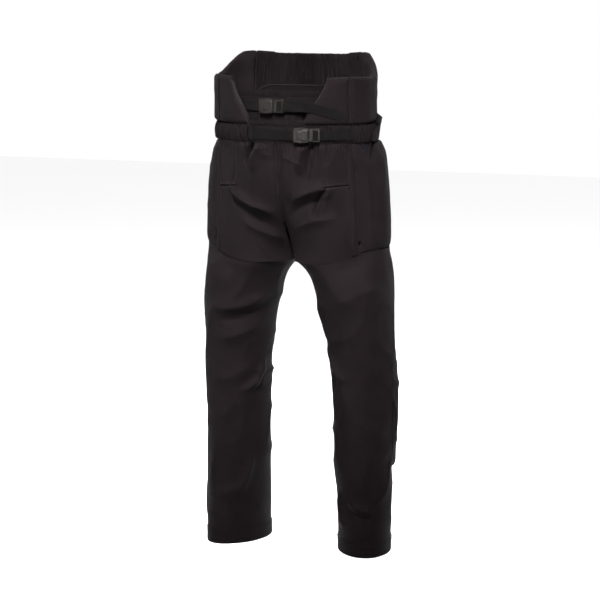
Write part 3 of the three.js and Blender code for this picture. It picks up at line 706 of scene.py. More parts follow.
def dashes(name, path, body="trousers", length=STITCH, gap=GAP):
    """A row of stitches: six-sided beads with closed ends, spaced along a path and lying in it."""
    step = np.linalg.norm(np.diff(path, axis=0), axis=1)
    run = np.concatenate([[0.0], np.cumsum(step)])
    begins = np.arange(gap, run[-1] - length, length + gap)
    at = begins[:, None] + np.linspace(0.0, length, 4)[None, :]
    spine = np.stack([np.interp(at, run, path[:, axis]) for axis in range(3)], -1)
    forward = spine[:, -1] - spine[:, 0]
    forward /= np.linalg.norm(forward, axis=-1, keepdims=True)
    helper = np.where(np.abs(forward[:, 2:]) > 0.8, (1.0, 0.0, 0.0), (0.0, 0.0, 1.0))
    side = np.cross(forward, helper)
    side /= np.linalg.norm(side, axis=-1, keepdims=True)
    up = np.cross(side, forward)
    turn = np.arange(6) / 6.0 * math.tau
    swell = np.array([0.35, 1.0, 1.0, 0.35]) * THREAD
    ring = (
        np.cos(turn)[:, None] * side[:, None, None, :]
        + np.sin(turn)[:, None] * up[:, None, None, :]
    )
    points = spine[:, :, None, :] + ring * swell[None, :, None, None]
    index = np.arange(len(begins) * 24).reshape(-1, 4, 6)
    after = np.roll(index, -1, 2)
    wall = np.stack([index[:, :-1], index[:, 1:], after[:, 1:], after[:, :-1]], -1)
    caps = np.concatenate(
        [
            index[:, 0][:, [0, 1, 2, 3]],
            index[:, 0][:, [0, 3, 4, 5]],
            index[:, -1][:, [3, 2, 1, 0]],
            index[:, -1][:, [5, 4, 3, 0]],
        ]
    )
    quads = np.concatenate([wall.reshape(-1, 4), caps])
    made = mesh_object(name, points.reshape(-1, 3), quads, sewing_thread)
    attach(made, body)


def hem_band(side, word):
    """A band round the foot of the leg, 1 mm proud of it, slightly eased between its stitches."""
    degrees = (np.arange(120) / 120.0 * 360.0)[::side, None]
    share = np.linspace(0.0, 1.0, 14)[None, :]
    place = np.stack(
        [
            np.cos(np.radians(degrees)) * 0.08 + 0 * share,
            np.sin(np.radians(degrees)) * 0.08 + 0 * share,
            0.035 * share + 0 * degrees,
        ],
        -1,
    )
    ease_in = noise(place, 0.02, 41) * 0.0006 + noise(place, 0.06, 42) * 0.0012
    lip = -0.0008 * ease(np.abs(share - 0.5), 0.42, 0.5)
    grid = on_leg(side, degrees, 0.0002 + 0.0348 * share, 0.0008 + ease_in + lip)
    band = cloth_sheet("hem_" + word, grid, 0.0032, shell_cloth, ring=True)
    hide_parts("hem_band_" + word)
    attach(band, "shin_" + word)
    around = np.linspace(0.0, 360.0, 181)
    for row, level in enumerate((0.0300, 0.0268)):
        path = on_leg(side, around, level, 0.0026)
        dashes(f"hem_stitch_{word}_{row}", path, "shin_" + word)


FLAP_FRONT, FLAP_BACK, FLAP_FOOT, FLAP_HEAD = 72.5, 125.5, 0.206, 0.451


def side_flap(side, word):
    """A slab over the leg's outer back, swollen in its middle, its lower edge standing off."""
    u = np.linspace(0.0, 1.0, 40)[::side, None]
    v = np.linspace(0.0, 1.0, 90)[None, :]
    degrees = FLAP_FRONT + (FLAP_BACK - FLAP_FRONT) * u + 0 * v
    height = FLAP_FOOT + (FLAP_HEAD - FLAP_FOOT) * v + 0 * u
    front, back, foot, head = u * 0.078, (1 - u) * 0.078, v * 0.246, (1 - v) * 0.246
    rim = np.minimum(np.minimum(front, back), np.minimum(foot, head))
    full = ease(front, 0.0, 0.030) * ease(head, 0.0, 0.09) * ease(back, 0.0, 0.012)
    plump = 0.0018 + 0.0052 * full * (0.55 + 0.45 * ease(foot, 0.0, 0.010))
    place = np.stack([degrees * 0.0014, height, 0 * height + side], -1)
    wavy = noise(place, 0.05, 51) * 0.0012 * ease(rim, 0.0, 0.02)
    follow = np.maximum(leg_relief(side, degrees, height), 0.0)
    outer = on_leg(side, degrees, height, follow + plump + wavy)
    inner = on_leg(side, degrees, height, follow + 0.0010 + 0 * height)
    flap = shell("flap_" + word, outer, inner, shell_cloth)
    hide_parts("side_flap_" + word)
    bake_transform(flap)


for side, word in ((1, "left"), (-1, "right")):
    hem_band(side, word)
    side_flap(side, word)

# ---------------------------------------------------------------- Hip pads
# A thick soft pad sits in a pocket of shell cloth over each hip, boxed out beyond the trunk.
# The pocket's cloth is slack, and its free upper edge rises over the waistband at the back.
VOXEL, SIM_FRAMES = 0.0045, 20


def puff(piece, cap, pressure):
    """Blows the piece up a little as cloth: evenly remeshed, held to a cap, then smoothed once."""
    remesh = piece.modifiers.new("even", "REMESH")
    remesh.mode = "VOXEL"
    remesh.voxel_size = VOXEL
    bake(piece)
    rest = coordinates(piece)
    cloth = piece.modifiers.new("cloth", "CLOTH")
    cloth.settings.quality = 6
    cloth.settings.mass = 0.25
    cloth.settings.tension_stiffness = cloth.settings.compression_stiffness = 18.0
    cloth.settings.bending_stiffness = 0.4
    cloth.settings.use_pressure = True
    cloth.settings.uniform_pressure_force = pressure
    cloth.settings.effector_weights.gravity = 0.0
    cloth.point_cache.frame_start = 1
    cloth.point_cache.frame_end = SIM_FRAMES
    for number in range(1, SIM_FRAMES + 1):
        bpy.context.scene.frame_set(number)
    bake(piece)
    bpy.context.scene.frame_set(1)
    moved = coordinates(piece) - rest
    far = np.linalg.norm(moved, axis=1, keepdims=True)
    capped = moved / np.maximum(far, 1e-9) * cap * np.tanh(far / cap)
    piece.data.vertices.foreach_set("co", (rest + capped).astype(np.float32).ravel())
    finer = piece.modifiers.new("finer", "SUBSURF")
    finer.levels = 1
    bake(piece)


def coordinates(piece):
    points = np.empty(len(piece.data.vertices) * 3, np.float32)
    piece.data.vertices.foreach_get("co", points)
    return points.reshape(-1, 3).astype(float)


def bake(piece):
    """Puts the shape that the piece's modifiers give into its own mesh, and takes them off."""
    graph = bpy.context.evaluated_depsgraph_get()
    graph.update()
    made = bpy.data.meshes.new_from_object(piece.evaluated_get(graph))
    piece.modifiers.clear()
    piece.data = made


def flatten(piece, facing=0.0):
    """Flat coordinates in metres: the arc round the body from the facing angle, and the height."""
    points = coordinates(piece)
    turn = math.radians(facing)
    x = points[:, 0] * math.cos(turn) + points[:, 1] * math.sin(turn)
    y = -points[:, 0] * math.sin(turn) + points[:, 1] * math.cos(turn)
    flat = np.stack([np.arctan2(x, -y) * 0.17, points[:, 2]], -1)
    corners = np.empty(len(piece.data.loops), np.int32)
    piece.data.loops.foreach_get("vertex_index", corners)
    layer = piece.data.uv_layers.get("flat") or piece.data.uv_layers.new(name="flat")
    layer.data.foreach_set("uv", flat[corners].astype(np.float32).ravel())
    piece.data.shade_smooth()


def tube(name, path, radius, material, body="trousers"):
    """A round cord of eight sides along a path, with closed ends."""
    forward = np.gradient(path, axis=0)
    forward /= np.linalg.norm(forward, axis=-1, keepdims=True)
    helper = np.where(np.abs(forward[:, 2:]) > 0.8, (1.0, 0.2, 0.0), (0.0, 0.0, 1.0))
    side = np.cross(forward, helper)
    side /= np.linalg.norm(side, axis=-1, keepdims=True)
    up = np.cross(side, forward)
    turn = np.arange(8) / 8.0 * math.tau
    ring = (
        np.cos(turn)[None, :, None] * side[:, None]
        + np.sin(turn)[None, :, None] * up[:, None]
    )
    along = np.linspace(0.0, 1.0, len(path))
    taper = radius * np.clip(np.minimum(along, 1 - along) * 40 + 0.3, 0.0, 1.0)
    points = path[:, None] + ring * taper[:, None, None]
    index = np.arange(len(path) * 8).reshape(-1, 8)
    after = np.roll(index, -1, 1)
    wall = np.stack([index[:-1], index[1:], after[1:], after[:-1]], -1).reshape(-1, 4)
    caps = np.array(
        [
            index[0][[0, 1, 2, 3]],
            index[0][[0, 3, 4, 7]],
            index[0][[4, 5, 6, 7]],
            index[-1][[3, 2, 1, 0]],
            index[-1][[7, 4, 3, 0]],
            index[-1][[7, 6, 5, 4]],
        ]
    )
    made = mesh_object(
        name, points.reshape(-1, 3), np.concatenate([wall, caps]), material
    )
    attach(made, body)
    return made


def front_stitches(name, degrees, height):
    """A row of stitches on the front's relief, on whichever panel the angles fall."""
    left = np.mean(degrees) > 0
    first, last = (0.3, HIP_FRONT + TUCK) if left else (-HIP_FRONT - TUCK, -0.3)
    relief = trunk_relief(degrees, height, first, last, FRONT_FOLDS, 0.0, 2)
    dashes(name, on_trunk(degrees, height, relief + 0.0003 - SUNK))


def hip_pad(side, word):
    """The boxed pad: the torso plus the pad's swell and its slack outside, the torso inside."""
    u = np.linspace(0.0, 1.0, 80)[:, None]
    v = np.linspace(0.0, 1.0, 84)[None, :]
    degrees = HIP_FRONT - 0.3 + (HIP_BACK - HIP_FRONT + 0.6) * u + 0 * v
    low = leg_line(degrees) - 0.0030
    height = low + (PELVIS_TOP + 0.0010 - low) * v
    place = np.stack([degrees * 0.0029, height * 0.45, 0 * height + side], -1)
    rim = ease(np.minimum(np.minimum(u, 1 - u), np.minimum(v, 1 - v)), 0.0, 0.08)
    slack = (noise(place, 0.045, 61) * 0.0026 + creases(place, 0.035, 63) * 0.0026) * rim
    outer = on_torso(degrees, height, pad_swell(degrees, height) + slack - 0.0012)
    inner = on_torso(degrees, height, -0.0032)
    if side < 0:
        outer, inner = (grid[::-1] * (-1.0, 1.0, 1.0) for grid in (outer, inner))
    pad = shell("hip_pad_" + word, outer, inner, shell_cloth)
    puff(pad, 0.0014, 2.0)
    flatten(pad)
    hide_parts("hip_pad_cover_" + word, "hip_pad_foam_" + word)
    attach(pad, "trousers")
    level = np.linspace(0.722, PELVIS_TOP - 0.001, 80)
    seam = on_torso(side * (HIP_BACK - 0.8), level, 0.0006)
    welt = tube("hip_welt_back_" + word, seam, 0.0022, shell_cloth)
    lap_seam(side, word)
    level = np.linspace(0.735, 0.962, 80)
    for row, aside in enumerate((HIP_FRONT - 1.4, HIP_FRONT - 3.0)):
        front_stitches(f"hip_stitch_{word}_{row}", side * aside + 0 * level, level)


def lap_seam(side, word):
    """The turned edge of the pad's cover, lapped over the front panel as a low round strip."""
    u = np.linspace(0.0, 1.0, 13)[:, None]
    degrees = HIP_FRONT - 1.3 + 6.2 * u
    low = leg_line(degrees)
    height = low + (PELVIS_TOP - 0.001 - low) * np.linspace(0.0, 1.0, 110)[None, :]
    degrees = degrees + 0 * height
    stand = 0.0038 * np.sin(np.pi * u**0.75) ** 0.6 - 0.0014
    outer = on_torso(side * degrees, height, pad_swell(degrees, height) + stand)
    inner = on_torso(side * degrees, height, -0.0026)
    if side < 0:
        outer, inner = outer[::-1], inner[::-1]
    strip = shell("hip_lap_" + word, outer, inner, shell_cloth)
    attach(strip, "trousers")


def pocket_mouth(side, word):
    """The pocket's free edge above the pad: it leans out over the waistband and sags a little."""
    u = np.linspace(0.0, 1.0, 60)[::side, None]
    v = np.linspace(0.0, 1.0, 26)[None, :]
    degrees = 82.0 + (127.0 - 82.0) * u + 0 * v
    top = 1.033 - 0.010 * np.sin(np.pi * u) - 0.040 * (1 - ease(u, 0.0, 0.45))
    height = 0.9705 + (top - 0.9705) * v
    place = np.stack([degrees * 0.0031, height * 0.4, 0 * height + side], -1)
    lean = 0.0040 + 0.0080 * v**0.8 * ease(u, 0.0, 0.4)
    slack = (noise(place, 0.03, 71) * 0.0022 + creases(place, 0.02, 73) * 0.0018) * v
    grid = on_torso(side * degrees, height, lean + slack)
    mouth = cloth_sheet("pocket_mouth_" + word, grid, 0.002, shell_cloth)
    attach(mouth, "trousers")


for side, word in ((1, "left"), (-1, "right")):
    hip_pad(side, word)
    pocket_mouth(side, word)

# ---------------------------------------------------------------- Lining and fly
# A thin smooth lining hangs inside the trunk behind the hip pads.
# The fly's facing is a strip of the same lining behind the front seam.
lining_cloth = woven(
    "lining_cloth", (0.0020, 0.0016, 0.0020), (0.0044, 0.0036, 0.0042), 0.0008, 0.0
)
for side, word in ((1, "left"), (-1, "right")):
    degrees = np.linspace(40.0, 140.0, 60)[::side, None]
    height = np.linspace(0.716, 0.9684, 40)[None, :]
    degrees, height = np.broadcast_arrays(degrees, height)
    place = np.stack([degrees * 0.003, height * 0.5, 0 * height], -1)
    hang = noise(place, 0.05, 81 + side) * 0.0012
    grid = on_trunk(side * degrees, height, -0.0062 + hang)
    lining = cloth_sheet("hip_lining_" + word, grid, 0.0008, lining_cloth)
    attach(lining, "trousers")
degrees = np.linspace(-6.5, 6.5, 14)[:, None]
height = np.linspace(0.784, 0.962, 40)[None, :]
degrees, height = np.broadcast_arrays(degrees, height)
facing = cloth_sheet(
    "fly_strip", on_trunk(degrees, height, -0.0052), 0.0018, lining_cloth
)
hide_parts("fly_facing")
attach(facing, "trousers")

# ---------------------------------------------------------------- Waistband
# The waistband is flat at the front, and tunnels of stretch cloth over wide elastic elsewhere.
# The elastic gathers the tunnels into deep upright folds between their upper and lower seams.
stretch_cloth = woven(
    "stretch_cloth", (0.0008, 0.0005, 0.0006), (0.0024, 0.0017, 0.0020), 0.0010, 0.003
)
BAND_LOW, BAND_HIGH = 0.9692, 1.0084


def gathers(along, height, pitch, seed):
    """Upright gathers from 0 to 1: rounded ridges of uneven pitch that drift with the height."""
    place = np.stack([along, height * 0.35, 0 * along], -1)
    drift = noise(place, pitch * 3.0, seed) * pitch * 1.1
    wave = np.sin((along + drift) / pitch * math.tau)
    second = np.sin((along - drift * 0.7) / (pitch * 1.7) * math.tau + 1.3)
    return np.clip(0.5 + 0.36 * wave + 0.24 * second, 0.0, 1.0) ** 0.8


def waistband(name, first, last, thick, depth, pitch, seed):
    """A band of the torso: its outer face gathers by depth, and its inner face by 0.4 of that."""
    u = np.linspace(0.0, 1.0, max(24, int((last - first) * 3.2)))[:, None]
    v = np.linspace(0.0, 1.0, 18)[None, :]
    degrees = first + 0.25 + (last - first - 0.5) * u + 0 * v
    height = BAND_LOW + (BAND_HIGH - BAND_LOW) * v + 0 * u
    along = np.radians(degrees) * 0.165
    bulge = np.sin(np.pi * v) ** 0.6
    deep = gathers(along, height, pitch, seed) * depth * (0.35 + 0.65 * bulge)
    swell = bulge * thick * 0.25
    outer = on_torso(degrees, height, deep + swell - depth * 0.55)
    inner = on_torso(degrees, height, deep * 0.4 - thick * 0.8 - depth * 0.3)
    band = shell("band_" + name, outer, inner, stretch_cloth)
    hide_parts("waistband_" + name)
    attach(band, "trousers")


waistband("front", -21.0, 37.0, 0.0030, 0.0006, 0.021, 91)
waistband("left", 37.0, 128.0, 0.0060, 0.0052, 0.0105, 92)
waistband("back", 128.0, 232.0, 0.0060, 0.0046, 0.0090, 93)
waistband("right", 232.0, 339.0, 0.0060, 0.0050, 0.0100, 94)
for row, level in enumerate((0.9722, 1.0054)):
    degrees = np.linspace(-20.0, 36.0, 120)
    dashes(f"band_stitch_{row}", on_torso(degrees, level, 0.0004))

# ---------------------------------------------------------------- Inner front belt
# A broad belt of ribbed stretch cloth crosses the belly behind the collar's wings.
# It is stitched in rows, its upper edge is firm and bound, and it is sewn to the collar's sides.


def inner_belt():
    """The belt leans in behind the wings, pinched by its rows, with fine upright ribs between."""
    u = np.linspace(0.0, 1.0, 260)[:, None]
    v = np.linspace(0.0, 1.0, 60)[None, :]
    degrees = -71.5 + 143.0 * u + 0 * v
    height = 1.0105 + (1.0868 - 1.0105) * v + 0 * u
    away = np.abs(degrees)
    offset = -0.0156 + 0.0032 * ease(away, 60.0, 68.0)
    along = np.radians(degrees) * 0.155
    rows = sum(
        np.exp(-(((height - level) / 0.0011) ** 2))
        for level in (1.0205, 1.0380, 1.0555, 1.0725)
    )
    ribs = np.sin(along / 0.0042 * math.tau) * 0.00030
    bound = 0.0010 * ease(height, 1.0765, 1.0785)
    place = np.stack([along, height * 0.7, 0 * along], -1)
    ripple = gathers(along, height, 0.019, 97) * 0.0012 + noise(place, 0.05, 98) * 0.001
    calm = ease(away, 72.0, 55.0)
    out = (
        offset
        - 0.0009 * rows
        + ribs * (1 - ease(height, 1.0765, 1.0785))
        + bound * 0.6
        + (ripple - 0.0012) * calm
        - 0.0004
    )
    belt = shell(
        "front_belt",
        on_torso(degrees, height, out),
        on_torso(degrees, height, out - 0.0020),
        stretch_cloth,
    )
    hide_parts("inner_front_belt")
    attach(belt, "trousers")


inner_belt()

# ---------------------------------------------------------------- Collar
# Five foam-filled panels stand round the waist: a back, two sides and two wings open at the front.
# The covers are shell cloth; the back is stretch cloth, gathered on its inner face over elastic.
COLLAR_BOTTOM, COLLAR_FRONT, COLLAR_PEAK, COLLAR_BACK = 1.009, 1.121, 1.171, 1.166
WING_SEAM, BACK_SEAM = 57.0, 134.0


def collar_top(degrees):
    """Level along the front and sides, with a peak at each back seam, a little lower behind."""
    away = np.abs((degrees + 180.0) % 360.0 - 180.0)
    rise = ease(away, 85.0, BACK_SEAM - 6.0)
    dip = ease(away, BACK_SEAM - 2.0, 160.0)
    peak = COLLAR_FRONT + rise * (COLLAR_PEAK - COLLAR_FRONT)
    return peak - dip * (COLLAR_PEAK - COLLAR_BACK)


def wing_edge(level):
    """Front edge of a wing: it leans back from its foot to its top corner."""
    return 21.0 + 17.0 * ease(level, COLLAR_BOTTOM, COLLAR_FRONT)


def collar_grid(first, last, columns, rows, inset):
    """Angles and heights of a panel between two edges, which may lean; its rim is drawn in."""
    u = np.linspace(0.0, 1.0, columns)[:, None]
    v = np.linspace(0.0, 1.0, rows)[None, :]
    level = COLLAR_BOTTOM + (COLLAR_FRONT - COLLAR_BOTTOM) * v
    start = first(level) if callable(first) else first + 0 * level
    stop = last + 0 * level
    degrees = start - 0.70 + (stop - start + 1.4) * u
    top = collar_top(degrees) - inset
    height = COLLAR_BOTTOM + inset * 0.6 + (top - COLLAR_BOTTOM - inset * 0.6) * v
    return u, v, degrees, height


def collar_panel(name, first, last, side, cap, seed, material, slack=1.0):
    """A foam slab between two faces 10 mm apart, both softly dented; its rim is rounded."""
    columns = max(30, int(abs(last - (30 if callable(first) else first)) * 1.1))
    u, v, degrees, height = collar_grid(first, last, columns, 40, 0.001)
    rim = np.minimum(np.minimum(u, 1 - u) * columns * 0.0026, np.minimum(v, 1 - v) * 0.11)
    full = ease(rim, -0.003, 0.009)
    place = np.stack([degrees * 0.003, height * 0.7, 0 * height + side], -1)
    dents = noise(place, 0.045, seed) * 0.0016 + creases(place, 0.04, seed + 2) * 0.0014
    dents = dents * full * slack
    outer = on_torso(degrees, height, -0.0030 + 0.0022 * full + dents)
    inner = on_torso(degrees, height, -0.0088 - 0.0022 * full + dents * 0.5)
    if side < 0:
        outer, inner = (grid[::-1] * (-1.0, 1.0, 1.0) for grid in (outer, inner))
    pad = shell(name + "_pad", outer, inner, material)
    puff(pad, cap, 2.5)
    flatten(pad, 180.0 if name == "collar_back" else 0.0)
    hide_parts(name + "_cover", name + "_foam")
    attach(pad, "trousers")


for side, word in ((1, "left"), (-1, "right")):
    collar_panel(
        "collar_wing_" + word, wing_edge, WING_SEAM, side, 0.0016, 101, shell_cloth
    )
    collar_panel(
        "collar_side_" + word, WING_SEAM, BACK_SEAM, side, 0.0018, 105, shell_cloth, 1.5
    )
collar_panel(
    "collar_back", BACK_SEAM, 360.0 - BACK_SEAM, 1, 0.0018, 109, stretch_cloth, 1.2
)

# ---------------------------------------------------------------- Collar's seams
# A corded welt covers the seam between each wing and side, with a row of stitches beside it.
# A paler tape closes each wing's front edge; the back's inner face is gathered above a thin cord.
edge_tape = woven(
    "edge_tape", (0.0026, 0.0021, 0.0023), (0.0062, 0.0054, 0.0057), 0.0016, 0.006
)
for side, word in ((1, "left"), (-1, "right")):
    level = np.linspace(COLLAR_BOTTOM + 0.004, COLLAR_FRONT - 0.002, 60)
    seam = on_torso(side * WING_SEAM, level, 0.0004)
    welt = tube("collar_welt_" + word, seam, 0.0019, shell_cloth)
    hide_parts("collar_piping_" + word)
    row = on_torso(side * (WING_SEAM + 2.3), level[2:-3], 0.0012)
    dashes("collar_stitch_" + word, row)
    rise = np.linspace(COLLAR_BOTTOM + 0.004, collar_top(BACK_SEAM) - 0.004, 70)
    for face, out in (("outer", 0.0000), ("inner", -0.0120)):
        seam = on_torso(side * BACK_SEAM, rise, out)
        cord = tube(f"back_welt_{face}_{word}", seam, 0.0022, shell_cloth)
    across = np.linspace(-0.0104, -0.0016, 8)[::side, None]
    share = np.linspace(0.0, 1.0, 80)[None, :]
    level = COLLAR_BOTTOM + 0.002 + (COLLAR_FRONT - COLLAR_BOTTOM - 0.0045) * share
    crown = 0.16 * (1.0 - ((across + 0.006) / 0.0046) ** 2)
    grid = on_torso(
        side * (wing_edge(level) + 0.15 - crown), level, across + 0 * share
    )
    tape = cloth_sheet("wing_edge_tape_" + word, grid, 0.0009, edge_tape)
    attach(tape, "trousers")

u = np.linspace(0.0, 1.0, 330)[::-1, None]
v = np.linspace(0.0, 1.0, 44)[None, :]
degrees = BACK_SEAM + 1.2 + (360.0 - 2 * BACK_SEAM - 2.4) * u
height = 1.0890 + (collar_top(degrees) - 0.007 - 1.0890) * v
degrees = degrees + 0 * v
along = np.radians(degrees) * 0.165
dense = 0.35 + 0.65 * ease(degrees, 200.0, 178.0)
deep = gathers(along + 0.16 * height * (1.0 - dense), height, 0.0088, 121)
ends = ease(np.minimum(v, 1 - v), 0.0, 0.08)
fold = -0.0126 - deep * 0.0036 * dense * (0.45 + 0.55 * ends)
grid = on_torso(degrees, height, fold)
gathered = cloth_sheet("collar_back_gathers", grid, 0.0009, stretch_cloth)
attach(gathered, "trousers")
turned = np.linspace(BACK_SEAM + 6.0, 360.0 - BACK_SEAM - 1.0, 120)
fall = 0.012 * ease(turned, 214.0, 226.0)
seam = on_torso(turned, 1.0868 - fall, -0.0135)
low_cord = tube("collar_back_cord", seam, 0.0013, edge_tape)

# ---------------------------------------------------------------- Front seams and stitching
# The front is shaped by short stitched darts under the waistband and by a yoke seam at each hip.
# A curved double row of stitching holds the fly, and the yoke seams stop at the hip pads.
fall = np.linspace(0.0, 1.0, 90)
for row, aside in enumerate((11.2, 12.4)):
    bend = ease(fall, 0.72, 1.0)
    front_stitches(
        f"fly_stitch_{row}", aside - (aside - 1.2) * bend**1.5, 0.964 - 0.170 * fall
    )
for row, (aside, low) in enumerate(((31.8, 0.874), (34.0, 0.872), (-33.0, 0.868))):
    drop = 0.965 + (low - 0.965) * fall
    front_stitches(f"dart_stitch_{row}", aside + 1.2 * fall, drop)
front_stitches("yoke_stitch_left", 34.5 + 17.0 * fall, 0.8690 + 0.004 * fall)
front_stitches("yoke_stitch_right", -34.5 - 17.0 * fall, 0.8660 - 0.004 * fall)

# ---------------------------------------------------------------- Webbing
# Both belts are flat black webbing 25 mm wide, woven in herringbone with a firm selvedge.
# The upper one crosses the inner belt onto the left wing; the lower one lies on the waistband.
BELT_OUT, LIE, WEBBING = -0.0148, 0.0008, 0.025
UPPER_BELT, UPPER_END, LOWER_BELT = 1.053, 1.027, 0.989


def belt_weave():
    """Herringbone: ribs that turn back at each stripe, on flat coordinates, in worn patches."""
    finish = Finish("webbing")
    u, v, _ = finish.across()
    stripe = ((v * (1.0 / 0.0050)).part() - 0.5).size()
    rib = ((u + stripe * 0.0050) * (math.tau / 0.0021)).sine()
    wear = finish.cloud(60.0, 4.0)
    finish.colour(
        rib * 0.28 + wear * 0.5 + 0.1, (0.0006, 0.0005, 0.0005), (0.0022, 0.0019, 0.0019)
    )
    finish.rough(wear * 0.16 + 0.50)
    finish.bump(rib, 0.00028)
    return finish.set(Specular_IOR_Level=0.02, Sheen_Weight=0.0)


webbing_cloth = belt_weave()


def even(path, outs, step):
    """The same path at even steps, its corners rounded by averaging five neighbours twice."""
    steps = np.linalg.norm(np.diff(path, axis=0), axis=1)
    run = np.concatenate([[0.0], np.cumsum(steps)])
    at = np.linspace(0.0, run[-1], max(6, int(run[-1] / step)))
    both = np.concatenate([path, outs], 1)
    both = np.stack([np.interp(at, run, both[:, column]) for column in range(6)], -1)
    for _ in range(2):
        padded = np.concatenate(
            [2 * both[:1] - both[2:0:-1], both, 2 * both[-1:] - both[-2:-4:-1]]
        )
        both = sum(padded[shift : shift + len(both)] for shift in range(5)) / 5.0
    outs = both[:, 3:] / np.linalg.norm(both[:, 3:], axis=1, keepdims=True)
    return both[:, :3], outs


def strap(name, path, outs, replaced, body="trousers", width=WEBBING):
    """Webbing that lies on a path: flat faces 2 mm apart, drawn together along both selvedges."""
    path, outs = even(path, outs, 0.0018)
    share = np.linspace(-0.5, 0.5, 13)[None, :, None]
    up = np.array([0.0, 0.0, 1.0])
    selvedge = ease(0.5 - np.abs(share), 0.0, 0.05)
    ripple = noise(path * (1, 1, 3), 0.018, 131)[:, None, None] * 0.0002
    base = path[:, None] + up * share * width
    normal = outs[:, None] * np.ones_like(share)
    outer = base + normal * (0.0012 + 0.0008 * selvedge + ripple)
    inner = base + normal * (0.0006 - 0.0005 * selvedge + ripple)
    made = shell(name, outer, inner, webbing_cloth)
    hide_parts(replaced)
    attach(made, body)
    return path, outs


def stations(degrees, height, out):
    """Points of the torso for webbing to lie on, and the way out from each."""
    degrees = np.asarray(degrees, float)
    point = on_torso(degrees, height, out)
    return point, (on_torso(degrees, height, np.asarray(out) + 0.001) - point) * 1000.0


PRONG_RISE = 0.0096  # from a buckle's middle up to its upper prong's pivot
BUCKLES = {}  # the middle of the socket's mouth, the way along the belt and the way inward
joints = {joint["name"]: joint for joint in frame["joints"]}
for which in ("upper", "lower"):
    along = np.array(joints[which + "_release"]["axis"], float)
    mouth = np.array(joints[which + "_prong_top"]["pos_m"], float) + along * 0.0001
    mouth[2] -= PRONG_RISE
    BUCKLES[which] = (mouth, along, np.array([-along[1], along[0], 0.0]))


def in_buckle(which, along, out=0.0, height=0.0):
    """Points in a buckle's own frame: along the belt from the socket's mouth, out and up."""
    mouth, direction, inward = BUCKLES[which]
    along = np.atleast_1d(np.asarray(along, float))[:, None]
    point = mouth + direction * along - inward * out + (0.0, 0.0, height)
    return point, np.repeat(-inward[None], len(along), 0)


def joined(*runs):
    """One path of points and one of directions, from several runs of both."""
    return [np.concatenate(part) for part in zip(*runs)]


upper_right = joined(
    stations([-58, -50, -42, -34, -27, -22], UPPER_BELT, BELT_OUT),
    in_buckle("upper", [-0.037, -0.029], 0.0008),
)
strap("upper_belt_right", *upper_right, "upper_webbing_right")
fall = np.array([0.0, 0.1, 0.27, 0.45, 0.65, 0.85, 1.0])
upper_left = joined(
    in_buckle("upper", [0.005, 0.020, 0.040]),
    stations(
        [21, 26, 31, 36, 42, 48, 53], UPPER_BELT + (UPPER_END - UPPER_BELT) * fall, LIE
    ),
)
path, outs = strap("upper_belt_left", *upper_left, "upper_webbing_left")
lower_right = joined(
    stations([-20, -14, -8, -2, 4], LOWER_BELT, LIE),
    in_buckle("lower", [-0.040, -0.029], 0.0008),
)
strap("lower_belt_right", *lower_right, "lower_webbing_right")
lower_left = joined(
    in_buckle("lower", [0.005, 0.020, 0.040]),
    stations([40, 46, 52, 58], LOWER_BELT, LIE),
)
strap("lower_belt_left", *lower_left, "lower_webbing_left")
UP = np.array([0.0, 0.0, 1.0])
for row, spot in enumerate((-3, -10)):
    across = np.linspace(-0.0105, 0.0105, 12)[:, None]
    line = path[spot] + outs[spot] * 0.0021 + across * UP
    dashes(f"belt_end_stitch_{row}", line, length=0.0024, gap=0.0009)
for row, rise in enumerate((-0.0105, 0.0105)):
    line = path[-11:-2] + outs[-11:-2] * 0.0021 + rise * UP
    dashes(f"belt_end_side_{row}", line, length=0.0024, gap=0.0009)
for which in ("upper", "lower"):
    strap(
        which + "_belt_turn",
        *in_buckle(which, [0.0110, 0.0145, 0.0180, 0.0212], 0.0099),
        which + "_webbing_turn",
        body=which + "_plug",
        width=0.0218,
    )

# ---------------------------------------------------------------- Belt loops
# Two short upright loops of webbing hold the lower belt against the waistband.
# Each is stitched down above and below the belt, and bows out over it.
for word, first, last in (("right", -19.0, -15.5), ("left", 52.0, 56.0)):
    u = np.linspace(first, last, 12)[:, None]
    v = np.linspace(0.0, 1.0, 40)[None, :]
    height = 0.9702 + (1.0074 - 0.9702) * v + 0 * u
    over = ease(v, 0.06, 0.17) * ease(1 - v, 0.06, 0.17)
    rim = ease(np.minimum(u - first, last - u) / (last - first), 0.0, 0.12)
    out = 0.0008 + 0.0033 * over
    outer = on_torso(u + 0 * v, height, out + 0.0009 + 0.0006 * rim)
    inner = on_torso(u + 0 * v, height, out)
    loop = shell("loop_" + word, outer, inner, webbing_cloth)
    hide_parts("belt_loop_" + word)
    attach(loop, "trousers")
    for row, level in enumerate((0.9722, 1.0056)):
        line = on_torso(np.linspace(first + 0.4, last - 0.4, 8), level, 0.0026)
        dashes(f"loop_stitch_{word}_{row}", line, length=0.0022, gap=0.0008)

# ---------------------------------------------------------------- Buckles
# Side-release buckles moulded in dark grey acetal: a hollow socket, and a plug with a slotted tail.
# The faces have a fine spark-eroded texture, and raised panels and ribs.


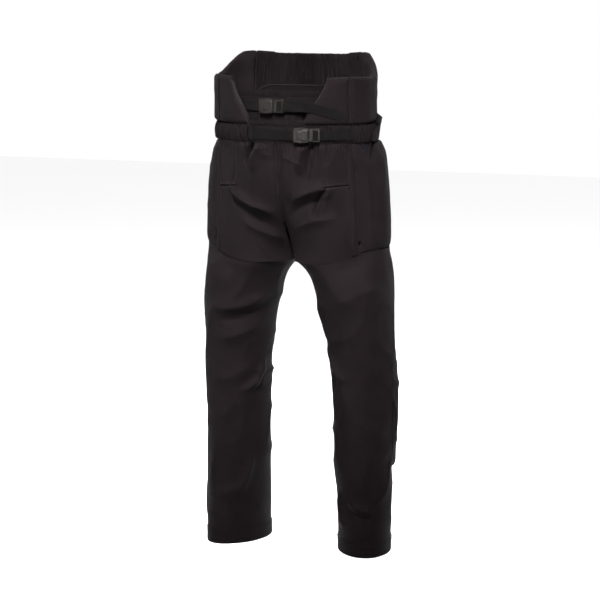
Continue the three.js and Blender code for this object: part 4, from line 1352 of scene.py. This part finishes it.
def moulded():
    """Fine grain over the whole face and slow changes of gloss, as a textured mould leaves."""
    finish = Finish("buckle_plastic")
    grain = finish.cloud(2400.0, 2.0)
    slow = finish.cloud(90.0, 3.0)
    finish.colour(
        slow.step(0.3, 0.75) * 0.7 + grain * 0.3,
        (0.0022, 0.0019, 0.0017),
        (0.0056, 0.0050, 0.0045),
    )
    finish.rough(slow * 0.14 + 0.40)
    finish.bump(grain, 0.00010)
    return finish.set(Specular_IOR_Level=0.08)


buckle_plastic = moulded()
for which in ("upper", "lower"):
    for node in ("socket", "plug", "prong_top", "prong_bottom"):
        mesh = frame["nodes"][f"{which}_{node}"].data
        mesh.materials.clear()
        mesh.materials.append(buckle_plastic)


def pillow(name, which, start, stop, half, base, rise, body, waist=0.0, dish=0.0):
    """A raised pad in a buckle's frame: a rounded rectangle whose edge falls in a quarter circle.

    Waist draws its upper and lower edges in, by that share, over the socket's side windows.
    """
    u = np.linspace(-1.0, 1.0, 25)[:, None]
    v = np.linspace(-1.0, 1.0, 25)[None, :]
    shape = (np.abs(u) ** 6 + np.abs(v) ** 6) ** (1 / 6)
    bound = np.maximum(np.abs(u), np.abs(v))
    squeeze = np.where(shape > 1e-6, bound / np.maximum(shape, 1e-6), 1.0)
    x = (start + stop) / 2 + (stop - start) / 2 * u * squeeze
    drawn = waist * ease(u, -1.0, -0.72) * ease(-u, 0.02, 0.26)
    z = half * v * squeeze * (1.0 - drawn)
    top = np.sqrt(np.clip(1.0 - np.clip((bound - 0.72) / 0.28, 0.0, 1.0) ** 2, 0, 1))
    mouth, direction, inward = BUCKLES[which]
    out = base + rise * top - dish * (1 - bound**2)

    def place(amount):
        return (
            mouth
            + direction * x[..., None]
            - inward * amount[..., None]
            + UP * z[..., None]
        )

    made = shell(name, place(out), place(0 * out + base - 0.0003), buckle_plastic)
    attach(made, body)


for which in ("upper", "lower"):
    plug = which + "_plug"
    for part, *shape in (
        ("socket_panel", -0.0262, -0.0008, 0.0134, 0.0110, 0.0016, "trousers", 0.34, 0.0005),
        ("socket_bar", -0.0322, -0.0296, 0.0120, 0.0110, 0.0014, "trousers"),
        ("plug_rib_0", 0.0062, 0.0092, 0.0125, 0.0095, 0.0016, plug),
        ("plug_rib_1", 0.0215, 0.0245, 0.0125, 0.0095, 0.0016, plug),
    ):
        pillow(f"{which}_{part}", which, *shape)
